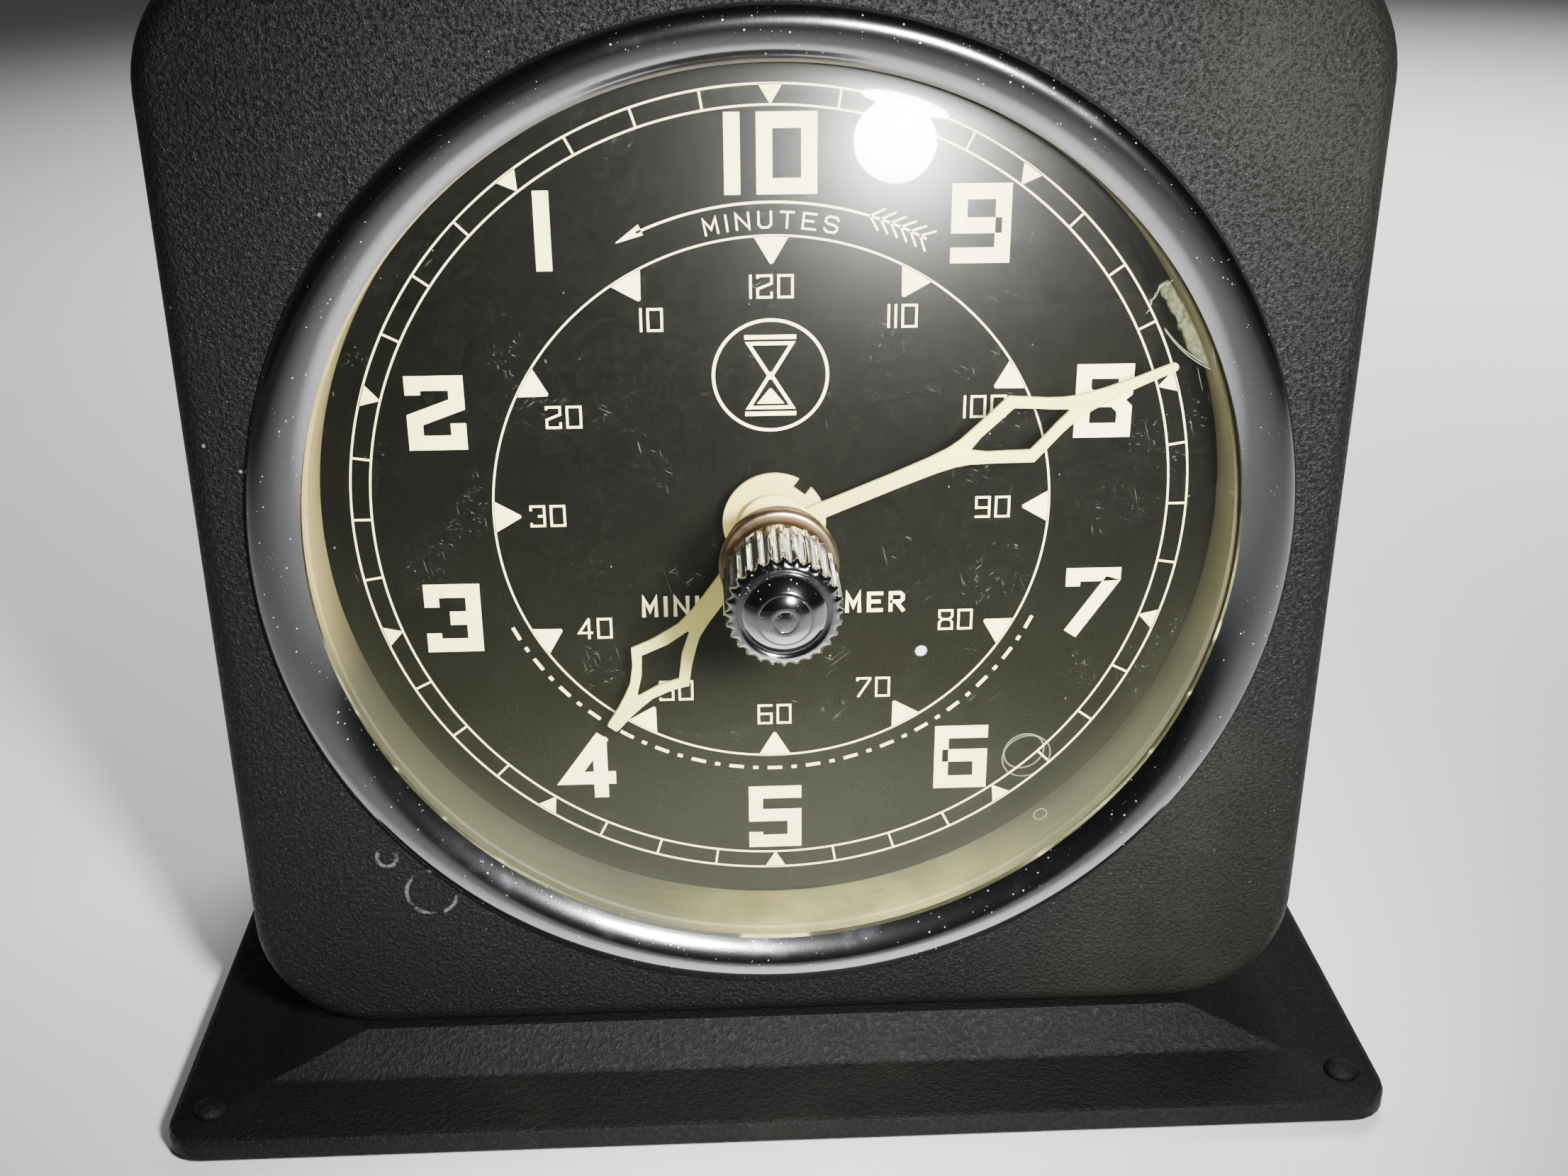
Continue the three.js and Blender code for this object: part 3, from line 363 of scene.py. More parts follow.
def wrinkle_paint():
    """Charcoal wrinkle enamel: a close pattern of raised grains, khaki dust low on the right, a painted sheen
    at the upper right, stains.
    """
    shader = Shader("wrinkle_enamel", **{"Specular IOR Level": 0.2})
    grain = shader.noise(0.55, detail=3, roughness=0.65)
    fine = shader.noise(0.2, detail=2)
    tops = shader.between(grain, 0.48, 0.66)
    pits = shader.between(grain, 0.44, 0.34)
    clouds = shader.patches(0.42, 0.7, 30, detail=4)
    corner = shader.near((78, -12, -62), 62, 18)
    # A lighter patch at the upper right, tinted like the dust: painted sheen where the lamp falls on the case.
    upper_right_sheen = shader.near((66, -12, 58), 42, 10)
    dust_and_sheen = shader.times(shader.most(corner, upper_right_sheen), shader.blend(clouds, 0.35, 1.0))
    dark = shader.mix(tops, (0.0014, 0.0015, 0.0017), (0.0080, 0.0084, 0.0088))
    # This lighter khaki tone serves both the real dust low on the right and the painted sheen at the upper
    # right.
    dust = shader.mix(tops, (0.0125, 0.0120, 0.0084), (0.0110, 0.0108, 0.0092))
    painted = shader.mix(dust_and_sheen, dark, dust)
    specks = shader.times(shader.dots(5.5, 0.05, 0.03), shader.patches(0.52, 0.62, 11, detail=1))
    dots = shader.times(shader.dots(1.5, 0.10, 0.05), shader.patches(0.50, 0.62, 3, detail=2))
    specks = shader.most(specks, shader.times(dots, 0.35))
    stains = 0.0
    for centre, radius in DROPS:
        mark = shader.between(shader.from_shell(centre, radius), 0.35, 0.1)
        stains = shader.most(stains, mark)
    stains = shader.times(stains, shader.patches(0.42, 0.58, 1.6, detail=3))
    marks = shader.most(specks, shader.times(stains, 0.6))
    shader.colour(shader.mix(marks, painted, (0.14, 0.135, 0.12)))
    shader.roughness(shader.blend(tops, 0.58, shader.blend(dust_and_sheen, 0.38, 0.46)))
    height = shader.plus(grain, shader.times(fine, 0.3))
    shader.bump(shader.minus(height, shader.times(pits, 0.25)), 0.30)
    return shader.material


def base_paint():
    """The base's flatter, browner enamel with the same close grain."""
    shader = Shader("base_enamel", **{"Specular IOR Level": 0.16})
    grain = shader.noise(0.7, detail=4, roughness=0.65)
    tops = shader.between(grain, 0.44, 0.66)
    patches = shader.patches(0.48, 0.75, 14, detail=4)
    dark = shader.mix(tops, (0.0016, 0.0016, 0.0013), (0.0040, 0.0038, 0.0032))
    shader.colour(shader.mix(shader.times(patches, 0.35), dark, (0.008, 0.0071, 0.0053)))
    shader.roughness(shader.blend(tops, 0.62, 0.42))
    shader.bump(grain, 0.32)
    return shader.material


def chrome(name, pit_size, tint, smears, film_weight):
    """Old chrome plate: clear reflections under a thin milky film, with scattered pale pits."""
    film_values = {"Coat Weight": film_weight, "Coat Roughness": 0.16, "Coat IOR": 1.6}
    shader = Shader(name, metallic=1.0, roughness=0.06, **film_values)
    pits = shader.times(shader.dots(pit_size, 0.11, 0.06), shader.patches(0.42, 0.55, 9, detail=3))
    specks = shader.dots(pit_size * 0.45, 0.10, 0.05)
    specks = shader.times(specks, shader.patches(0.46, 0.56, 4, detail=2))
    pits = shader.most(pits, shader.times(specks, 0.6))
    film = shader.patches(0.5, 0.85, 5, detail=5)
    bright = shader.mix(film, tint, tuple(0.9 * channel for channel in tint))
    shader.colour(shader.mix(pits, bright, (0.55, 0.53, 0.46)))
    smear = shader.blend(film, *smears)
    shader.roughness(shader.blend(pits, smear, 0.75))
    height = shader.minus(shader.noise(14, detail=0), shader.times(pits, 0.3))
    shader.bump(height, 0.03)
    shader.bump(shader.noise(0.28, detail=2), 0.012, "Coat Normal")
    return shader.material


def bare_metal(name, colour, roughness, grain=0.15, tarnish=(0.12, 0.08, 0.05), amount=0.35):
    """Plain metal with a fine drawn grain and some tarnish."""
    shader = Shader(name, metallic=1.0)
    lines = shader.noise(grain, detail=3, stretch=(0, 8, 1, 1))
    cloud = shader.patches(0.45, 0.75, 3.5, detail=4)
    shader.colour(shader.mix(shader.times(cloud, amount), colour, tarnish))
    shader.roughness(shader.blend(lines, roughness * 0.85, roughness * 1.2))
    shader.bump(lines, 0.004)
    return shader.material


def cream_print():
    """Cream screen printing, thin enough in places to show specks of black."""
    shader = Shader("cream_print", roughness=0.5)
    specks = shader.patches(0.70, 0.78, 0.5, detail=3)
    yellow = shader.patches(0.4, 0.7, 14, detail=2)
    cream = shader.mix(yellow, (0.94, 0.92, 0.50), (0.90, 0.87, 0.40))
    shader.colour(shader.mix(shader.times(specks, 0.35), cream, (0.2, 0.18, 0.12)))
    shader.bump(shader.noise(0.3, detail=2), 0.01)
    return shader.material


def hand_enamel():
    """Cream enamel on the hands, gone yellow towards the centre."""
    shader = Shader("hand_enamel", roughness=0.42)
    stain = shader.patches(0.45, 0.75, 4, detail=4)
    near = shader.near((0, -4, 0), 26, 6)
    cream = shader.mix(near, (0.62, 0.60, 0.18), (0.48, 0.42, 0.12))
    shader.colour(shader.mix(shader.times(stain, 0.35), cream, (0.50, 0.42, 0.22)))
    shader.bump(shader.noise(0.6, detail=3), 0.012)
    return shader.material


def dial_enamel():
    """Black dial enamel with a fine fleck, dust specks and an olive cast low down."""
    shader = Shader("dial_enamel", roughness=0.42, **{"Specular IOR Level": 0.08})
    fleck = shader.patches(0.4, 0.75, 0.7, detail=4, roughness=0.7)
    black = shader.mix(fleck, (0.0010, 0.0011, 0.0010), (0.0024, 0.0026, 0.0020))
    specks = shader.times(shader.dots(2.4, 0.055, 0.035), shader.patches(0.52, 0.6, 5, detail=2))
    low = shader.down(10, -50)
    olive = shader.mix(shader.times(low, 0.8), black, (0.0036, 0.0040, 0.0016))
    shader.colour(shader.mix(shader.times(specks, 0.7), olive, (0.26, 0.22, 0.12)))
    shader.roughness(shader.blend(fleck, 0.34, 0.5))
    shader.bump(shader.noise(0.8, detail=3), 0.004)
    return shader.material


def spacer_paint():
    """The dirty cream ring behind the crystal: cream at the bottom, painted light on the left, painted shade
    on the right and low down.
    """
    shader = Shader("spacer_paint", roughness=0.7)
    dirt = shader.patches(0.38, 0.72, 6, detail=5)
    streaks = shader.patches(0.45, 0.8, 1.2, detail=3)
    foot = shader.near((10, -6, -57), 32, 8)
    cream = shader.mix(dirt, (0.180, 0.158, 0.060), (0.100, 0.088, 0.034))
    # Painted shade: the ring goes dark low down on both sides.
    below = shader.down(2, -22)
    # Painted light and shade across the ring: the left side is painted lighter than the cream, the right side
    # darker.
    right = shader.between(shader.axis("X"), -30, 30)
    sides = shader.mix(right, (0.26, 0.21, 0.08), (0.062, 0.056, 0.025))
    sides = shader.mix(below, sides, (0.011, 0.010, 0.0045))
    # Only the bottom keeps the plain cream; the rest of the ring carries the painted light and shade.
    cream = shader.mix(foot, sides, cream)
    shader.colour(shader.mix(shader.times(streaks, 0.4), cream, (0.040, 0.029, 0.012)))
    shader.bump(streaks, 0.02)
    return shader.material


# Cracks in the crystal: centre and radius of the arc, middle of the stretch, its reach, raggedness.
LONG_CRACK = ((58.6, -11.6, 35.4), 15.9, (48.4, -11.8, 23.4), 3.9, 0.0)
TOP_CRACK = ((49.2, -11.8, 26.9), 6.9, (44.6, -11.9, 30.4), 2.4, 1.0)
# Dried drops on the crystal: centre and radius.
DRIED_DROPS = (((31.8, -13.9, -29.2), 3.2), ((34.5, -12.2, -39.1), 1.0))


def crystal_marks(shader):
    """A pale chipped sliver at the rim on the right, its cracks, a fleck and two dried drops."""
    wander = shader.times(shader.noise(1.5, detail=4), 1.6)
    around = shader.distance((0, -12, 0))
    chip = shader.between(shader.plus(around, wander), 55.0, 55.3)
    chip = shader.times(chip, shader.between(around, 56.0, 55.7))
    ends = shader.plus(shader.distance((47.9, -11.6, 26.2)), wander)
    chip = shader.times(chip, shader.between(ends, 7.0, 6.6))
    chip = shader.times(chip, shader.near(LONG_CRACK[0], 15.9, 15.6))
    grain = shader.patches(0.35, 0.6, 0.6, detail=4)
    marks = shader.times(chip, shader.blend(grain, 0.03, 0.11))
    for centre, radius, middle, reach, ragged in (LONG_CRACK, TOP_CRACK):
        away = shader.plus(shader.distance(centre), shader.times(wander, ragged))
        away = shader.math("ABSOLUTE", shader.minus(away, radius))
        line = shader.between(away, 0.08, 0.03)
        line = shader.times(line, shader.near(middle, reach + 0.3, reach))
        marks = shader.most(marks, shader.times(line, 0.3))
    fleck = shader.near((17.4, -16.8, -12.3), 0.85, 0.6)
    marks = shader.most(marks, shader.times(fleck, 0.75))
    for centre, radius in DRIED_DROPS:
        ring = shader.between(shader.from_shell(centre, radius), 0.14, 0.05)
        marks = shader.most(marks, shader.times(ring, 0.25))
    return marks


def crystal_plastic():
    """Old clear plastic: a mirror-like front with hairline scratches and a yellow haze low down."""
    shader = Shader("crystal_plastic", colour=(0.97, 0.965, 0.93), roughness=0.02)
    shader.surface.inputs["Transmission Weight"].default_value = 1.0
    shader.surface.inputs["IOR"].default_value = 1.22
    scratches = 0.0
    for turn, width in ((25, 0.12), (-38, 0.1), (75, 0.14)):
        lines = shader.patches(0.80, 0.84, width, detail=0, stretch=(turn, 90, 1, 1))
        scratches = shader.most(scratches, lines)
    scratches = shader.times(scratches, shader.patches(0.54, 0.66, 9, detail=2))
    low = shader.down(5, -58)
    rim = shader.near((0, -12, 0), 47, 57)
    cloud = shader.blend(shader.noise(12, detail=4), 0.5, 1.2)
    haze = shader.times(shader.plus(shader.times(low, 0.009), 0.0010), cloud)
    haze = shader.plus(haze, shader.times(shader.times(rim, low), 0.05))
    marks = crystal_marks(shader)
    faint_scratches = shader.times(scratches, 0.1)
    film = shader.most(haze, shader.most(faint_scratches, marks))
    milky = shader.node("ShaderNodeBsdfDiffuse")
    white = shader.most(scratches, marks)
    shader.link(shader.mix(white, (0.37, 0.40, 0.19), (0.70, 0.74, 0.74)), milky.inputs["Color"])
    hazed = shader.mix_shaders(film, shader.surface.outputs[0], milky.outputs[0])
    glow = shader.node("ShaderNodeBsdfGlossy")
    glow.inputs["Roughness"].default_value = 0.24
    glowing = shader.mix_shaders(0.008, hazed, glow.outputs[0])
    light = shader.node("ShaderNodeLightPath")
    clear = shader.node("ShaderNodeBsdfTransparent")
    clear.inputs["Color"].default_value = (0.93, 0.92, 0.86, 1)
    both = shader.mix_shaders(light.outputs["Is Shadow Ray"], glowing, clear.outputs[0])
    shader.link(both, shader.output.inputs["Surface"])
    return shader.material


def rubber():
    """Old black rubber with a grey bloom."""
    shader = Shader("rubber", roughness=0.8)
    bloom = shader.patches(0.4, 0.75, 2.5, detail=4)
    shader.colour(shader.mix(bloom, (0.010, 0.010, 0.010), (0.028, 0.027, 0.025)))
    shader.bump(shader.noise(0.25, detail=2), 0.03)
    return shader.material


def laminations():
    """Edges of thin steel plates, stacked front to back."""
    shader = Shader("laminations", metallic=0.9, roughness=0.5)
    plates = shader.math("PINGPONG", shader.axis("Y"), 0.3)
    edges = shader.between(plates, 0.02, 0.12)
    rust = shader.patches(0.5, 0.75, 3, detail=4)
    steel = shader.mix(edges, (0.02, 0.02, 0.022), (0.14, 0.145, 0.16))
    shader.colour(shader.mix(shader.times(rust, 0.5), steel, (0.12, 0.05, 0.02)))
    shader.bump(edges, 0.05)
    return shader.material


def coil_tape():
    """Varnished cotton tape over the winding."""
    shader = Shader("coil_tape", roughness=0.45)
    weave = shader.math("PINGPONG", shader.axis("X"), 0.6)
    turns = shader.math("PINGPONG", shader.axis("X"), 5.0)
    dark = shader.between(turns, 0.0, 0.5)
    cloth = shader.mix(shader.between(weave, 0.1, 0.5), (0.16, 0.085, 0.02), (0.26, 0.15, 0.045))
    shader.colour(shader.mix(dark, (0.07, 0.035, 0.01), cloth))
    shader.bump(weave, 0.08)
    return shader.material


def phenolic():
    """Brown moulded phenolic with a faint flow pattern."""
    shader = Shader("phenolic", roughness=0.35)
    flow = shader.patches(0.4, 0.7, 3, detail=3, distortion=1.5)
    shader.colour(shader.mix(flow, (0.045, 0.016, 0.007), (0.10, 0.04, 0.018)))
    shader.bump(shader.noise(0.8, detail=2), 0.02)
    return shader.material


def floor_material():
    """A pale, faintly clouded surface."""
    shader = Shader("floor", roughness=0.7)
    cloud = shader.noise(90, detail=2)
    shader.colour(shader.mix(cloud, (0.78, 0.775, 0.755), (0.84, 0.835, 0.82)))
    return shader.material


MATERIALS = {
    "wrinkle_paint": wrinkle_paint(),
    "base_paint": base_paint(),
    "chrome": chrome("bezel_chrome", 1.2, (0.34, 0.34, 0.37), (0.10, 0.18), 1.0),
    "knob_chrome": chrome("knob_chrome", 0.75, (0.62, 0.62, 0.63), (0.05, 0.09), 0.4),
    "steel": bare_metal("bright_steel", (0.52, 0.53, 0.55), 0.3),
    "brass": bare_metal("plain_brass", (0.50, 0.36, 0.15), 0.3),
    "bronze": bare_metal("bronze", (0.34, 0.25, 0.17), 0.30, tarnish=(0.07, 0.045, 0.025), amount=0.8),
    "dial_black": dial_enamel(),
    "cream_paint": hand_enamel(),
    "cream_print": cream_print(),
    "cream_ring": spacer_paint(),
    "clear_plastic": crystal_plastic(),
    "rubber": rubber(),
    "coil_tape": coil_tape(),
    "phenolic": phenolic(),
    "laminations": laminations(),
}


# ---------------------------------------------------------------- mesh helpers


def build(name, shape, material, replaces=(), body="housing", crisp=None, place=(0, 0, 0)):
    """One piece from the points and faces of shape, in millimetres round the dial, moved by place.

    It is smooth, but crisp where faces meet at more than crisp degrees, and flat all over for crisp=0.
    """
    verts, faces = shape
    offset = Vector(place)
    mesh = bpy.data.meshes.new(name)
    mesh.from_pydata([world(Vector(v) + offset) for v in verts], [], faces)
    mesh.validate()
    mesh.update()
    return finish_piece(add_object(name, mesh), material, body, replaces, crisp)


def finish_piece(piece, material, body, replaces, crisp=None):
    """Gives a piece its material and shading and says what it rides on and replaces."""
    face_outward(piece.data)
    piece.data.materials.clear()
    piece.data.materials.append(MATERIALS[material])
    piece.data.polygons.foreach_set("use_smooth", [crisp != 0] * len(piece.data.polygons))
    if crisp:
        piece.data.set_sharp_from_angle(angle=math.radians(crisp))
    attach(piece, body)
    if replaces:
        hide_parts(*replaces)
    return piece


def face_outward(mesh):
    """Joins equal points and turns every face's normal outward."""
    work = bmesh.new()
    work.from_mesh(mesh)
    bmesh.ops.remove_doubles(work, verts=work.verts, dist=1e-7)
    bmesh.ops.recalc_face_normals(work, faces=work.faces)
    work.to_mesh(mesh)
    work.free()


def loft(loops, closed=False, caps=True):
    """Faces between loops of equal length. closed joins the last loop to the first; caps fills the ends."""
    count = len(loops[0])
    verts = [point for loop in loops for point in loop]
    faces = []
    rows = len(loops) if closed else len(loops) - 1
    for i in range(rows):
        here, there = i * count, ((i + 1) % len(loops)) * count
        for k in range(count):
            n = (k + 1) % count
            faces.append((here + k, here + n, there + n, there + k))
    if caps and not closed:
        faces.append(tuple(range(count)))
        faces.append(tuple(reversed(range((len(loops) - 1) * count, len(loops) * count))))
    return verts, faces


def circle(radius, y, count):
    """A loop round the dial's axis, clockwise from the top as seen from the front."""
    angles = [TURN * i / count for i in range(count)]
    return [(radius * math.sin(angle), y, radius * math.cos(angle)) for angle in angles]


def turned(profile, count=192):
    """A closed profile of (radius, y) points turned round the dial's axis."""
    return loft([circle(r, y, count) for r, y in profile], closed=True)


def arc_points(centre, radius, start, end, steps):
    """Points on an arc, angles in degrees."""
    points = []
    for i in range(steps + 1):
        angle = math.radians(start + (end - start) * i / steps)
        points.append((centre[0] + radius * math.cos(angle), centre[1] + radius * math.sin(angle)))
    return points


def rounded_rectangle(half_x, low, high, radius, steps=10, straight=8):
    """Points round a rectangle with round corners, in two dimensions, with steps along each straight side."""
    corners = (
        (half_x - radius, high - radius, 0),
        (-half_x + radius, high - radius, 90),
        (-half_x + radius, low + radius, 180),
        (half_x - radius, low + radius, 270),
    )
    points = []
    for i, (x, y, start) in enumerate(corners):
        corner = arc_points((x, y), radius, start, start + 90, steps)
        points.extend(corner)
        nx, ny, next_start = corners[(i + 1) % 4]
        following = arc_points((nx, ny), radius, next_start, next_start + 90, steps)[0]
        for k in range(1, straight):
            share = k / straight
            points.append(tuple(a + (b - a) * share for a, b in zip(corner[-1], following)))
    return points


def round_hole(centre, radius):
    """48 points round a hole."""
    return arc_points(centre, radius, 360, 7.5, 47)


def flat_piece(name, node, outlines, bevel, material, body):
    """Outlines with holes, as seen from the front, made as thick as a CAD node, with rounded edges."""
    low, high = local_box(node)
    thickness = high.y - low.y
    curve = bpy.data.curves.new(name, "CURVE")
    curve.dimensions = "2D"
    curve.fill_mode = "BOTH"
    curve.extrude = (thickness / 2 - bevel) * MM
    curve.bevel_depth = bevel * MM
    curve.bevel_resolution = 2
    curve.offset = -bevel * MM
    for outline in outlines:
        spline = curve.splines.new("POLY")
        spline.points.add(len(outline) - 1)
        for point, (x, z) in zip(spline.points, outline):
            point.co = (x * MM, z * MM, 0, 1)
        spline.use_cyclic_u = True
    source = add_object(name + "_outline", curve)
    graph = bpy.context.evaluated_depsgraph_get()
    mesh = bpy.data.meshes.new_from_object(source.evaluated_get(graph))
    mesh.name = name
    bpy.data.objects.remove(source)
    mesh.transform(Matrix.Rotation(math.pi / 2, 4, "X"))
    mesh.transform(Matrix.Translation(world((0, low.y + thickness / 2, 0))))
    finish_piece(add_object(name, mesh), material, body, [node], crisp=40)


def moved(points, centre):
    """Two-dimensional points moved so that their origin comes to centre."""
    return [(x + centre[0], z + centre[1]) for x, z in points]


def rotate_outline(outline, angle):
    """Turns two-dimensional points counter-clockwise."""
    c, s = math.cos(angle), math.sin(angle)
    return [(x * c - z * s, x * s + z * c) for x, z in outline]


# ---------------------------------------------------------------- case, base and rear


def case_outline(half, radius, y):
    """A square loop with round corners at one depth."""
    return [(x, y, z) for x, z in rounded_rectangle(half, -half, half, radius, 14, 16)]


def case_shell():
    """The pressed case: soft front edge, straight sides, a returned rear edge and a round window."""
    front, rear = CASE_LOW.y, CASE_HIGH.y
    wall, edge = 1.5, 0.6
    rear_opening = 58.0
    outer = []
    for inset, depth in arc_points((CASE_EDGE, CASE_EDGE), CASE_EDGE, 180, 270, 7):
        outer.append(case_outline(CASE_HALF - inset, CASE_CORNER - inset, front + depth))
    outer = outer[::-1]
    sides = [case_outline(CASE_HALF, CASE_CORNER, front + CASE_EDGE + step) for step in (16, 32, 48)]
    back = [
        case_outline(CASE_HALF, CASE_CORNER, rear - edge),
        case_outline(CASE_HALF - edge, CASE_CORNER - edge, rear),
        case_outline(rear_opening, CASE_CORNER, rear),
        case_outline(rear_opening, CASE_CORNER, rear - wall),
        case_outline(CASE_HALF - wall, CASE_CORNER - wall, rear - wall),
        case_outline(CASE_HALF - wall, CASE_CORNER - wall, front + wall),
    ]
    rim = [math.atan2(x, z) for x, _, z in outer[0]]
    window = [
        [(WINDOW_RADIUS * math.sin(a), y, WINDOW_RADIUS * math.cos(a)) for a in rim]
        for y in (front + wall, front)
    ]
    shape = loft([*outer, *sides, *back, *window], closed=True)
    build("case", shape, "wrinkle_paint", ["case_shell"], crisp=35)


def base_plinth():
    """The pressed base: turned-down flange with round corners and a raised centre with mitred corners."""
    front, rear = BASE_LOW.y, BASE_HIGH.y
    bottom, top = BASE_LOW.z, BASE_HIGH.z
    flange_top = -75.0
    step, sheet = 11.2, 1.2
    raised_half = 56.8

    def loop(half, y0, y1, radius, z):
        return [(x, y, z) for x, y in rounded_rectangle(half, y0, y1, radius, 6, 6)]

    def flange(inset, z):
        return loop(BASE_HIGH.x - inset, front + inset, rear - inset, 5 - inset, z)

    def raised(share, grow, z):
        half = BASE_HIGH.x - step + (raised_half - BASE_HIGH.x + step) * share - grow
        y0 = front + step + (CASE_LOW.y + 0.8 - front - step) * share + grow
        y1 = rear - step + (CASE_HIGH.y - 0.8 - rear + step) * share - grow
        return loop(half, y0, y1, 0.7, z)

    # The flange's rim as (inset, height), then the raised centre as shares of its way in and its way up.
    rim = [(sheet, bottom), (0.2, bottom), (0, bottom + 0.3), (0, flange_top - 1.0)]
    rim += [(0.3, flange_top - 0.3), (1.0, flange_top)]
    slope = [(-0.06, 0), (0.02, 0.04), (0.08, 0.10), (0.93, 0.93), (0.98, 0.985), (1.05, 1)]
    loops = [flange(inset, z) for inset, z in rim]
    loops += [raised(share, 0, flange_top + (top - flange_top) * height) for share, height in slope]
    under = [
        raised(1.0, sheet, top - sheet),
        raised(0.0, sheet, flange_top - sheet),
        flange(2 * sheet, flange_top - sheet),
        flange(sheet, flange_top - 2 * sheet),
    ]
    verts, faces = loft(loops)
    # The sheet is open below, so the outside keeps its top cap and drops the one at its bottom loop.
    top_cap = faces.pop()
    faces.pop()
    count = len(loops[0])
    start = len(verts)
    under_verts, under_faces = loft(under, caps=False)
    verts.extend(under_verts)
    faces.extend(tuple(start + i for i in face) for face in under_faces)
    faces.append(top_cap)
    faces.append(tuple(start + i for i in range(count)))
    last = start + (len(under) - 1) * count
    for k in range(count):
        n = (k + 1) % count
        faces.append((k, n, last + n, last + k))
    build("base", (verts, faces), "base_paint", ["base_plinth"], crisp=28)


def upright_piece(name, profile, material, node):
    """A profile of (radius, height) points turned round the middle of a CAD node's box."""
    low, high = local_box(node)
    x, y = (low.x + high.x) / 2, (low.y + high.y) / 2
    count = 40
    angles = [TURN * i / count for i in range(count)]
    loops = []
    for r, z in profile:
        loops.append([(x + r * math.cos(angle), y + r * math.sin(angle), z) for angle in angles])
    build(name, loft(loops), material, [node], crisp=40)


def feet_and_rivets():
    """The rubber feet under the flange, hollow in the middle, and the domed rivets that hold them."""
    head_radius, head_rise, neck = 2.3, 1.1, -75.2
    for i in range(1, 5):
        low, high = local_box(f"base_foot_{i}")
        foot = [(2.2, low.z + 1.2), (2.2, low.z + 0.2), (2.6, low.z), (3.1, low.z), (3.6, low.z + 0.5)]
        foot += [(3.7, high.z - 0.3), (3.4, high.z)]
        upright_piece(f"foot_{i}", foot, "rubber", f"base_foot_{i}")
        low, high = local_box(f"foot_rivet_{i}")
        shank = [(1.2, low.z), (1.2, neck), (2.2, neck)]
        dome = []
        for angle in (0, 0.35, 0.7, 1.05, 1.35, 1.52):
            height = high.z - head_rise + head_rise * math.sin(angle)
            dome.append((head_radius * math.cos(angle), height))
        upright_piece(f"rivet_{i}", shank + dome, "base_paint", f"foot_rivet_{i}")


def screw_piece(name, node, head_radius, axis):
    """A slotted cheese head on its shank, in place of a CAD screw whose head lies at the axis' far end."""
    low, high = local_box(node)
    middle = (low + high) / 2
    count, slot_half, slot_depth = 36, 0.42, 0.9
    shank, head_height = 1.4, 1.7
    head, tip = (high.y, low.y) if axis == "y" else (low.z, high.z)
    way = 1 if head < tip else -1
    under_head = head + head_height * way
    profile = [(shank, tip), (shank, under_head), (head_radius, under_head), (head_radius, head + 0.35 * way)]
    profile += [(head_radius - 0.1, head + 0.12 * way), (head_radius - 0.4, head)]
    loops = []
    for r, along in profile:
        ring = [(r * math.cos(TURN * i / count), r * math.sin(TURN * i / count)) for i in range(count)]
        loops.append([(a, along, b) if axis == "y" else (a, b, along) for a, b in ring])
    place = (middle.x, 0, middle.z) if axis == "y" else (middle.x, middle.y, 0)
    piece = build(name, loft(loops), "steel", [node], place=place)
    cutter = bpy.data.meshes.new(name + "_slot")
    reach = head_radius + 1
    corners = []
    for a in (-reach, reach):
        for b in (-slot_half, slot_half):
            for along in (head - way, head + slot_depth * way):
                corners.append(world(Vector((a, along, b) if axis == "y" else (a, b, along)) + Vector(place)))
    quads = [(0, 1, 3, 2), (4, 6, 7, 5), (0, 4, 5, 1), (2, 3, 7, 6), (0, 2, 6, 4), (1, 5, 7, 3)]
    cutter.from_pydata(corners, [], quads)
    face_outward(cutter)
    tool = add_object(name + "_slot", cutter)
    boolean = piece.modifiers.new("slot", "BOOLEAN")
    boolean.operation = "DIFFERENCE"
    boolean.object = tool
    graph = bpy.context.evaluated_depsgraph_get()
    mesh = bpy.data.meshes.new_from_object(piece.evaluated_get(graph))
    piece.modifiers.clear()
    piece.data = mesh
    bpy.data.objects.remove(tool)
    mesh.polygons.foreach_set("use_smooth", [True] * len(mesh.polygons))
    mesh.set_sharp_from_angle(angle=math.radians(35))


def rear_cover():
    """The flat rear cover: rounded edges, two banks of vents and the cord hole."""
    half = COVER_HIGH.x
    bank_middle, top_row, pitch = 27, 34, 9
    reach, slot_radius = 16, 1.2
    cord_hole = 6.1
    outlines = [rounded_rectangle(half, -half, half, CASE_CORNER - 2.5, 10, 1)]
    for bank in (-1, 1):
        for row in range(5):
            x, z = bank * bank_middle, top_row - pitch * row
            slot = arc_points((x + reach, z), slot_radius, -90, 90, 6)
            slot += arc_points((x - reach, z), slot_radius, 90, 270, 6)
            outlines.append(slot[::-1])
    low, high = local_box("cord_bushing")
    centre = ((low.x + high.x) / 2, (low.z + high.z) / 2)
    outlines.append(round_hole(centre, cord_hole))
    flat_piece("rear_panel", "rear_cover", outlines, 0.25, "wrinkle_paint", "housing")


def cord_bushing():
    """The rubber grommet of the cord hole, with a groove that takes the cover's edge."""
    low, high = local_box("cord_bushing")
    middle = (low + high) / 2
    front, rear = low.y, high.y
    profile = [(3.6, front + 0.3), (4.0, front), (6.9, front), (7.6, front + 0.6), (7.7, COVER_LOW.y - 0.1)]
    profile += [(6.0, COVER_LOW.y - 0.1), (6.0, COVER_HIGH.y + 0.1), (7.75, COVER_HIGH.y + 0.1)]
    profile += [(7.7, rear - 1.3)] + arc_points((6.5, rear - 1.2), 1.2, 0, 90, 6)[1:]
    profile += [(4.4, rear), (3.8, rear - 0.3), (3.6, rear - 0.9)]
    place = (middle.x, 0, middle.z)
    build("cord_grommet", turned(profile, 64), "rubber", ["cord_bushing"], crisp=50, place=place)


# ---------------------------------------------------------------- front: bezel, spacer, crystal, eyelet


